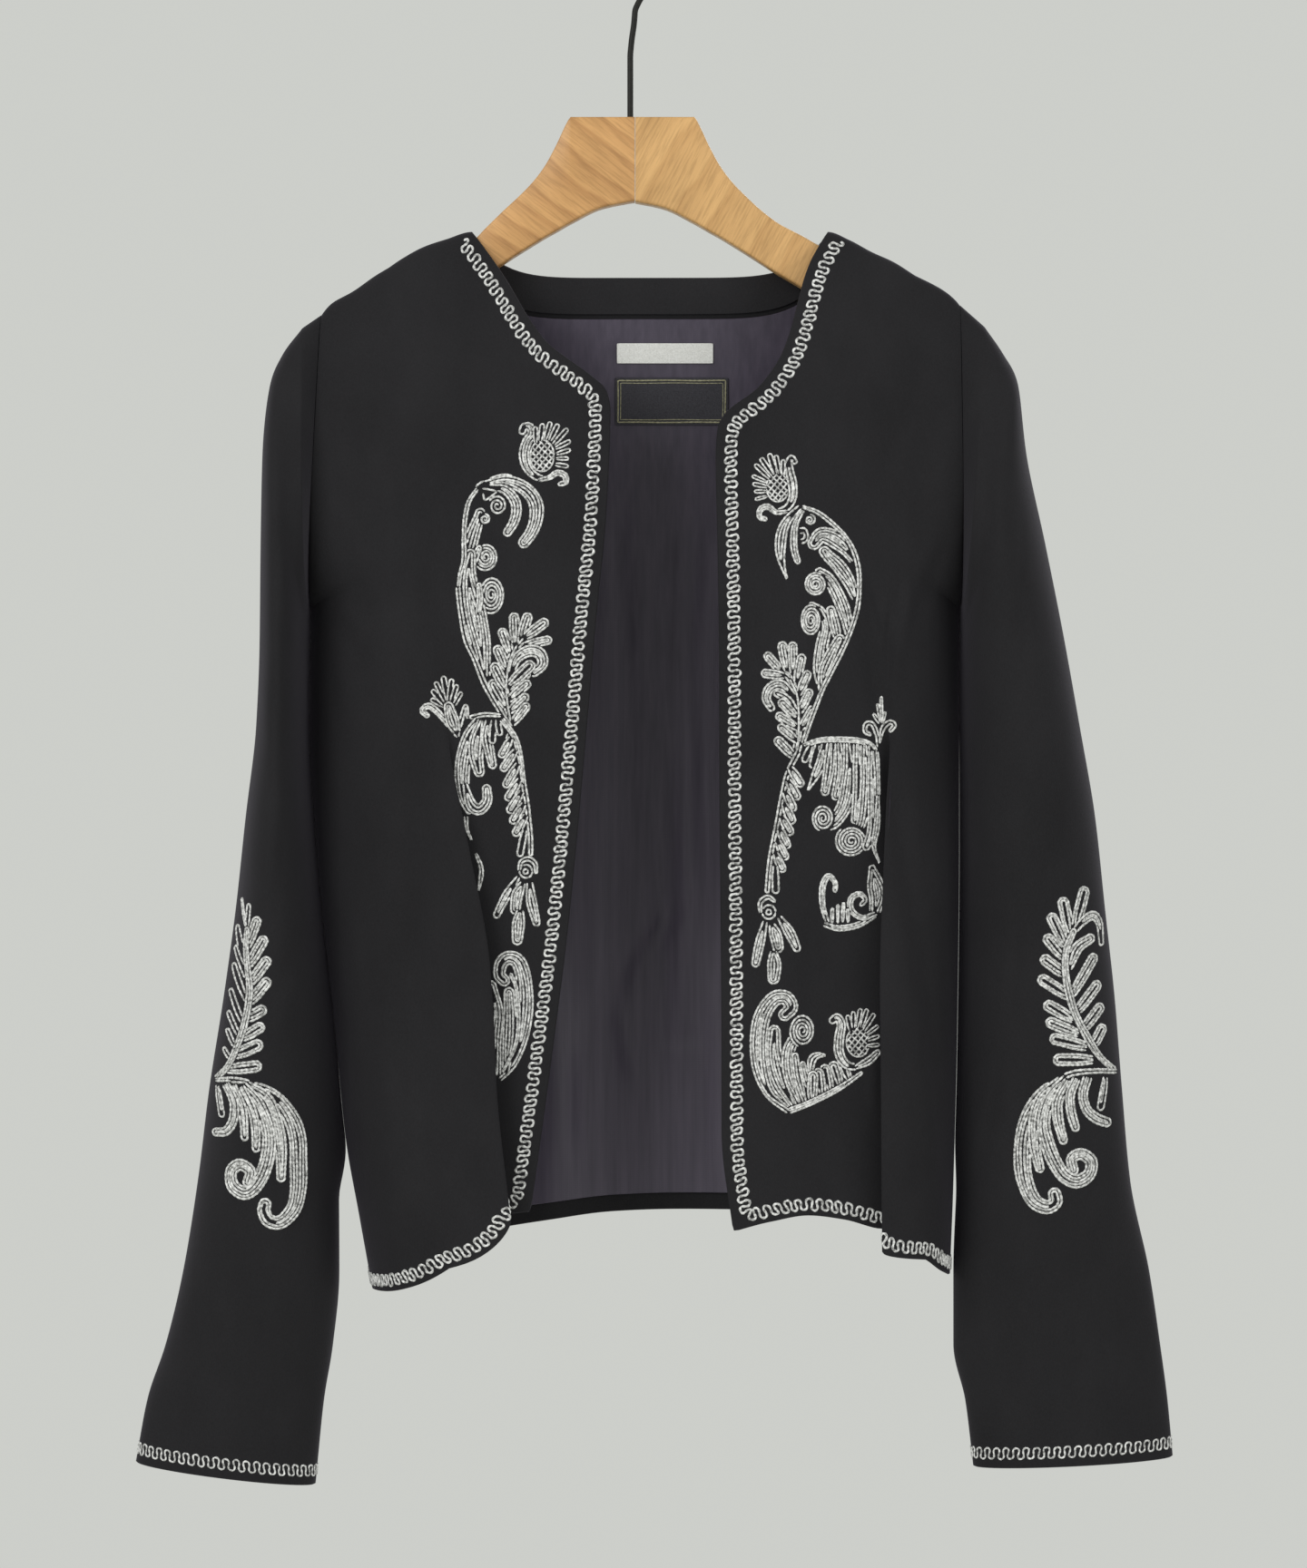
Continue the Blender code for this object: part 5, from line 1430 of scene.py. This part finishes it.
def meander(path, closed=False):
    """The border: one row of thread swung from side to side along a path, its bends wider than its necks."""
    run = run_along(path)
    periods = max(round(run[-1] / BORDER_PERIOD), 1)
    period = run[-1] / periods
    at = np.linspace(0, run[-1], periods * BORDER_POINTS + 1)
    loose = 0.0 if closed else 1.0
    phase = at / period * 2 * math.pi + loose * slow_waves(at, LOOSE_PHASE)
    swing = BORDER_SWING * (1 + slow_waves(at, LOOSE_SWING) * loose)
    slant = BORDER_SLANT * (1 + slow_waves(at, LOOSE_SLANT) * loose)
    middle = at - period * (BORDER_OVERHANG * np.sin(2 * phase) + slant * np.sin(phase))
    middle = np.clip(middle, 0, run[-1])
    side = unit(points_at(middle, run, sideways(path)[1]))
    return points_at(middle, run, path) + side * (swing * np.sin(phase))[:, None]


def offset_inwards(edge, distance, towards):
    """An edge line moved sideways, to the side where the given place lies."""
    edge = resampled(edge, PATH_STEP)
    middle = len(edge) // 2
    side = sideways(edge)[1]
    if np.dot(side[middle], np.array(towards) - edge[middle]) < 0:
        side = -side
    return edge + side * distance


def round_corner(first, second):
    """Two lines cut where they pass closest, joined and softened."""
    apart = np.linalg.norm(first[:, None] - second[None], axis=2)
    i, j = np.unravel_index(apart.argmin(), apart.shape)
    return softened(resampled(np.concatenate([first[:i], second[j + 1:]]), PATH_STEP), CORNER_SOFTENING)


def thread_piece(name, laid_rows, step=THREAD_STEP, finish="silver_thread", slot="embroidery"):
    """Bands of thread along rows of (chart, flat line, half width), which swell at every stitch."""
    points, faces = [], []
    count = 0
    sides = len(THREAD_SECTION)
    for number, (chart, flat, half_width) in enumerate(laid_rows):
        wobble = THREAD_WOBBLE * np.sin(np.arange(len(flat)) * WOBBLE_RATE + number * WOBBLE_SHIFT)[:, None]
        for middle, normal in chart.laid(resampled(flat + wobble, step)):
            tangent = unit(np.gradient(middle, axis=0))
            side = unit(np.cross(normal, tangent))
            run = np.arange(len(middle)) * step
            swell = 1 + STITCH_SWELL * np.sin(run * 2 * math.pi / STITCH + number)
            end = np.minimum(run, run[-1] - run) / half_width
            swell = swell * np.sqrt(np.clip(THREAD_END + end, THREAD_END, 1.0))
            height = THREAD_HEIGHT * half_width * swell
            tube = np.stack([middle + side * (a * half_width * swell)[:, None]
                             + normal * (THREAD_LIFT * half_width + b * height)[:, None]
                             for a, b in THREAD_SECTION], axis=1)
            points.append(tube.reshape(-1, 3))
            faces += grid_faces(len(tube), sides, True, count).tolist()
            faces.append(list(range(count, count + sides)))
            count += len(tube) * sides
            faces.append(list(range(count - sides, count)))
    made = new_object(name, np.concatenate(points), faces, [bpy.data.materials[finish]], smooth_angle=70.0)
    finish_piece(made, slot)


def front_border(chart, across_first):
    """Path of a front's border: down the neckline and the front edge, round the corner, along the hem."""
    column, way = (0, 1) if across_first else (-1, -1)
    inside = (chart.s.mean(), INSIDE_HEIGHT)
    return round_corner(offset_inwards(chart.line(slice(4, None), column), BORDER_INSET, inside),
                        offset_inwards(chart.line(-1, slice(None, None, way)), HEM_INSET, inside))


def embroider_front(side, spray):
    """A front's spray and its border."""
    _, _, points, normals = front_grid(side)
    chart = Chart(points, normals, spread_s(points, 0), points[..., 2])
    rows = [(chart, *row) for row in spray_rows(spray, FRONT_THREAD)]
    thread_piece("embroidery_front_" + side, rows)
    path = front_border(chart, side == "right")
    thread_piece("border_front_" + side, [(chart, meander(path), BORDER_HALF_WIDTH)], BORDER_STEP)


def embroider_sleeve(side, spray):
    """A sleeve's spray, repeated behind, and the border round its cuff."""
    points, normals = sleeve_grid(side)
    half_turn = SLEEVE_COLUMNS // 2
    rows = []
    for order in (np.arange(half_turn + 1), -np.arange(half_turn + 1)):
        face = points[:, order]
        chart = Chart(face, normals[:, order], spread_s(face, half_turn // 2, SLEEVE_SPREAD), face[..., 2])
        rows += [(chart, *row) for row in spray_rows(spray, SLEEVE_THREAD)]
    thread_piece("embroidery_sleeve_" + side, rows)

    around = np.append(np.arange(SLEEVE_COLUMNS), 0)
    cuff, cuff_normals = points[-CUFF_ROWS:, around], normals[-CUFF_ROWS:, around]
    lengths = np.append(0, np.cumsum(np.linalg.norm(np.diff(cuff[-3], axis=0), axis=1)))
    steps = np.linalg.norm(np.diff(cuff, axis=0), axis=2)[::-1]
    up = np.concatenate([np.zeros((1, len(around))), np.cumsum(steps, axis=0)])[::-1]
    chart = Chart(cuff, cuff_normals, np.broadcast_to(lengths, up.shape), up)
    path = np.linspace((0, BORDER_INSET), (lengths[-1], BORDER_INSET), 300)
    rows = [(chart, meander(path, closed=True), CUFF_HALF_WIDTH)]
    thread_piece("border_cuff_" + side, rows, BORDER_STEP)


def embroider_back():
    """The borders of the back's neckline and hem."""
    across, _, points, normals = back_grid()
    chart = Chart(points, normals, spread_s(points, len(across) // 2), points[..., 2])
    neck = np.flatnonzero(back_neck(across) > BORDER_NECK_SHARE * BACK_NECK_DROP)
    rows = []
    for row, columns in ((2, slice(neck[0], neck[-1] + 1)), (-1, slice(0, None))):
        edge = chart.line(row, columns)
        path = resampled(offset_inwards(edge, BORDER_INSET, (chart.s.mean(), INSIDE_HEIGHT)), PATH_STEP)
        rows.append((chart, meander(softened(path, CORNER_SOFTENING)), BORDER_HALF_WIDTH))
    thread_piece("border_back", rows, BORDER_STEP)


# The hanger and its hook

def tube_object(name, points, around, finish, smooth_angle):
    """A closed tube from the points of its sections, each with the same count of points around."""
    count = len(points)
    faces = grid_faces(count // around, around, True).tolist()
    faces += [list(range(around)), list(range(count - around, count))]
    return new_object(name, points, faces, [finish], smooth_angle=smooth_angle)


def make_hanger(side, finish):
    """One glued half: rounded sections along the outline's smooth tables."""
    direction, top_column = (-1, 1) if side == "left" else (1, 2)
    stations = [row[0] for row in HANGER_OUTLINE]
    points = []
    for reach in np.unique(stations + np.linspace(0.0, stations[-1], HANGER_SECTIONS).tolist()):
        top, bottom = (float(smooth(HANGER_OUTLINE, reach, column)) for column in (top_column, 3))
        x = HANGER_SEAM_X + direction * SEAM / 2 if reach == 0 else direction * reach
        bevel = min(HANGER_BEVEL, (top - bottom) / 3)
        flat, middle = HANGER_HALF_THICKNESS - bevel, (top + bottom) / 2
        half = (top - bottom) / 2 - bevel
        for quarter, (sy, sz) in enumerate(((1, 1), (-1, 1), (-1, -1), (1, -1))):
            for a in np.linspace(0, math.pi / 2, BEVEL_POINTS):
                turn = a + quarter * math.pi / 2
                y, z = sy * flat + bevel * math.cos(turn), middle + sz * half + bevel * math.sin(turn)
                points.append((x, y, z))
    made = tube_object("wood_" + side, points, 4 * BEVEL_POINTS, finish, 40.0)
    finish_piece(made, "wood", "hanger_" + side)


def make_hook(finish):
    """The wire: its kinked stem smoothed, then the arc round the seat, with a blunt rounded tip."""
    arc = HOOK_RADIUS * circle(np.linspace(HOOK_START, HOOK_END, 72)) + (0.0, WIRE_RADIUS - HOOK_RADIUS)
    route = np.concatenate([HOOK_STEM, arc[1:]])
    along = run_along(route)
    at = np.linspace(0, along[-1], HOOK_SECTIONS)
    line = softened(points_at(at, along, route), 3)
    side = sideways(line)[1]
    tip = np.clip(1 - (along[-1] - at) / WIRE_RADIUS, 0, 1)
    radius = WIRE_RADIUS * np.sqrt(np.clip(1 - tip ** 2, 0.02, 1))
    points = []
    for (x, z), (side_x, side_z), r in zip(line, side, radius):
        for a in np.arange(WIRE_SIDES) * 2 * math.pi / WIRE_SIDES:
            points.append((x + side_x * r * math.cos(a), r * math.sin(a), z + side_z * r * math.cos(a)))
    made = tube_object("wire_hook", points, WIRE_SIDES, finish, 60.0)
    finish_piece(made, "wire", "hook")


# Light, floor and camera

CAMERA = (11.2, -2800.0, -468.0)
PHOTO_HEIGHT_MM = 838.08    # seen at the hanger's plane: 1728 px of 0.485 mm
FLOOR_HEIGHT = -1650.0
FLOOR_RADIUS = 4300.0
SENSOR = 36.0
LIGHTS_AIM = Vector((0.0, 0.0, -450.0))
LIGHTS = (
    # name, place, width and height, watts
    ("key_light", (-1500.0, -1900.0, 500.0), (1300.0, 1300.0), 26.0),
    ("fill_light", (1700.0, -1700.0, -200.0), (1500.0, 1500.0), 12.5),
    ("rear_light", (900.0, 2000.0, 600.0), (1400.0, 1400.0), 14.0),
)


def make_stage():
    camera = bpy.data.cameras.new("camera")
    camera.sensor_fit = "AUTO"
    camera.sensor_width = SENSOR
    camera.lens = SENSOR * -CAMERA[1] / PHOTO_HEIGHT_MM
    camera.clip_start = 0.05
    camera.clip_end = 60.0
    eye = bpy.data.objects.new("camera", camera)
    eye.location = [v * MM for v in CAMERA]
    eye.rotation_euler = (math.pi / 2, 0.0, 0.0)
    bpy.context.scene.collection.objects.link(eye)
    bpy.context.scene.camera = eye

    bpy.ops.mesh.primitive_circle_add(vertices=96, radius=FLOOR_RADIUS * MM, fill_type="NGON",
                                      location=(0.0, 0.0, FLOOR_HEIGHT * MM))
    floor = bpy.context.object
    floor.name = "floor"
    floor.data.materials.append(new_material("pale_floor", (0.62, 0.63, 0.60), 0.8)[0])

    world = bpy.data.worlds.new("studio")
    world.use_nodes = True
    world.node_tree.nodes["Background"].inputs["Color"].default_value = (0.608, 0.620, 0.590, 1.0)
    world.node_tree.nodes["Background"].inputs["Strength"].default_value = 1.0
    bpy.context.scene.world = world
    bpy.context.scene.view_settings.view_transform = "Standard"

    for name, place, size, power in LIGHTS:
        light = bpy.data.lights.new(name, "AREA")
        light.shape = "RECTANGLE"
        light.size, light.size_y = (s * MM for s in size)
        light.energy = power
        lamp = bpy.data.objects.new(name, light)
        lamp.location = [v * MM for v in place]
        lamp.rotation_euler = (LIGHTS_AIM - Vector(place)).to_track_quat("-Z", "Y").to_euler()
        bpy.context.scene.collection.objects.link(lamp)


def build():
    velvet = velvet_material()
    lining = lining_material()
    make_back(velvet, lining)
    for side in ("left", "right"):
        make_front(side, velvet, lining)
        make_sleeve(side, velvet, lining)
    tape = label_material("white_tape", (0.69, 0.69, 0.66), (0.88, 0.88, 0.86))
    make_label("white", WHITE_LABEL, tape)
    tape = label_material("black_tape", (0.030, 0.029, 0.036), (0.052, 0.050, 0.060))
    chart = make_label("black", BLACK_LABEL, tape)
    make_hanger("left", wood_material("wood_left", (0.68, 0.375, 0.143), (0.44, 0.212, 0.071),
                                      math.radians(-38), 26.0, (0.35, 0.5, 1.0)))
    make_hanger("right", wood_material("wood_right", (0.715, 0.424, 0.170), (0.545, 0.297, 0.107),
                                       math.radians(62), 16.0, (0.5, 0.5, 1.0)))
    make_hook(wire_material())
    # the silver thread's grey, with painted glints up to near white and painted shade down to dark grey
    silver = ((0.32, (0.20, 0.20, 0.195)), (0.5, (0.60, 0.60, 0.59)), (0.66, (0.95, 0.95, 0.94)))
    thread_material("silver_thread", silver)
    thread_material("pale_gold_thread", ((0.30, (0.20, 0.19, 0.11)), (0.70, (0.42, 0.40, 0.26))))
    make_label_border(chart, BLACK_LABEL)
    embroider_front("left", LEFT_SPRAY)
    embroider_front("right", RIGHT_SPRAY)
    embroider_sleeve("left", LEFT_SLEEVE_SPRAY)
    embroider_sleeve("right", RIGHT_SLEEVE_SPRAY)
    embroider_back()
    declare_sheets()
    make_stage()


build()
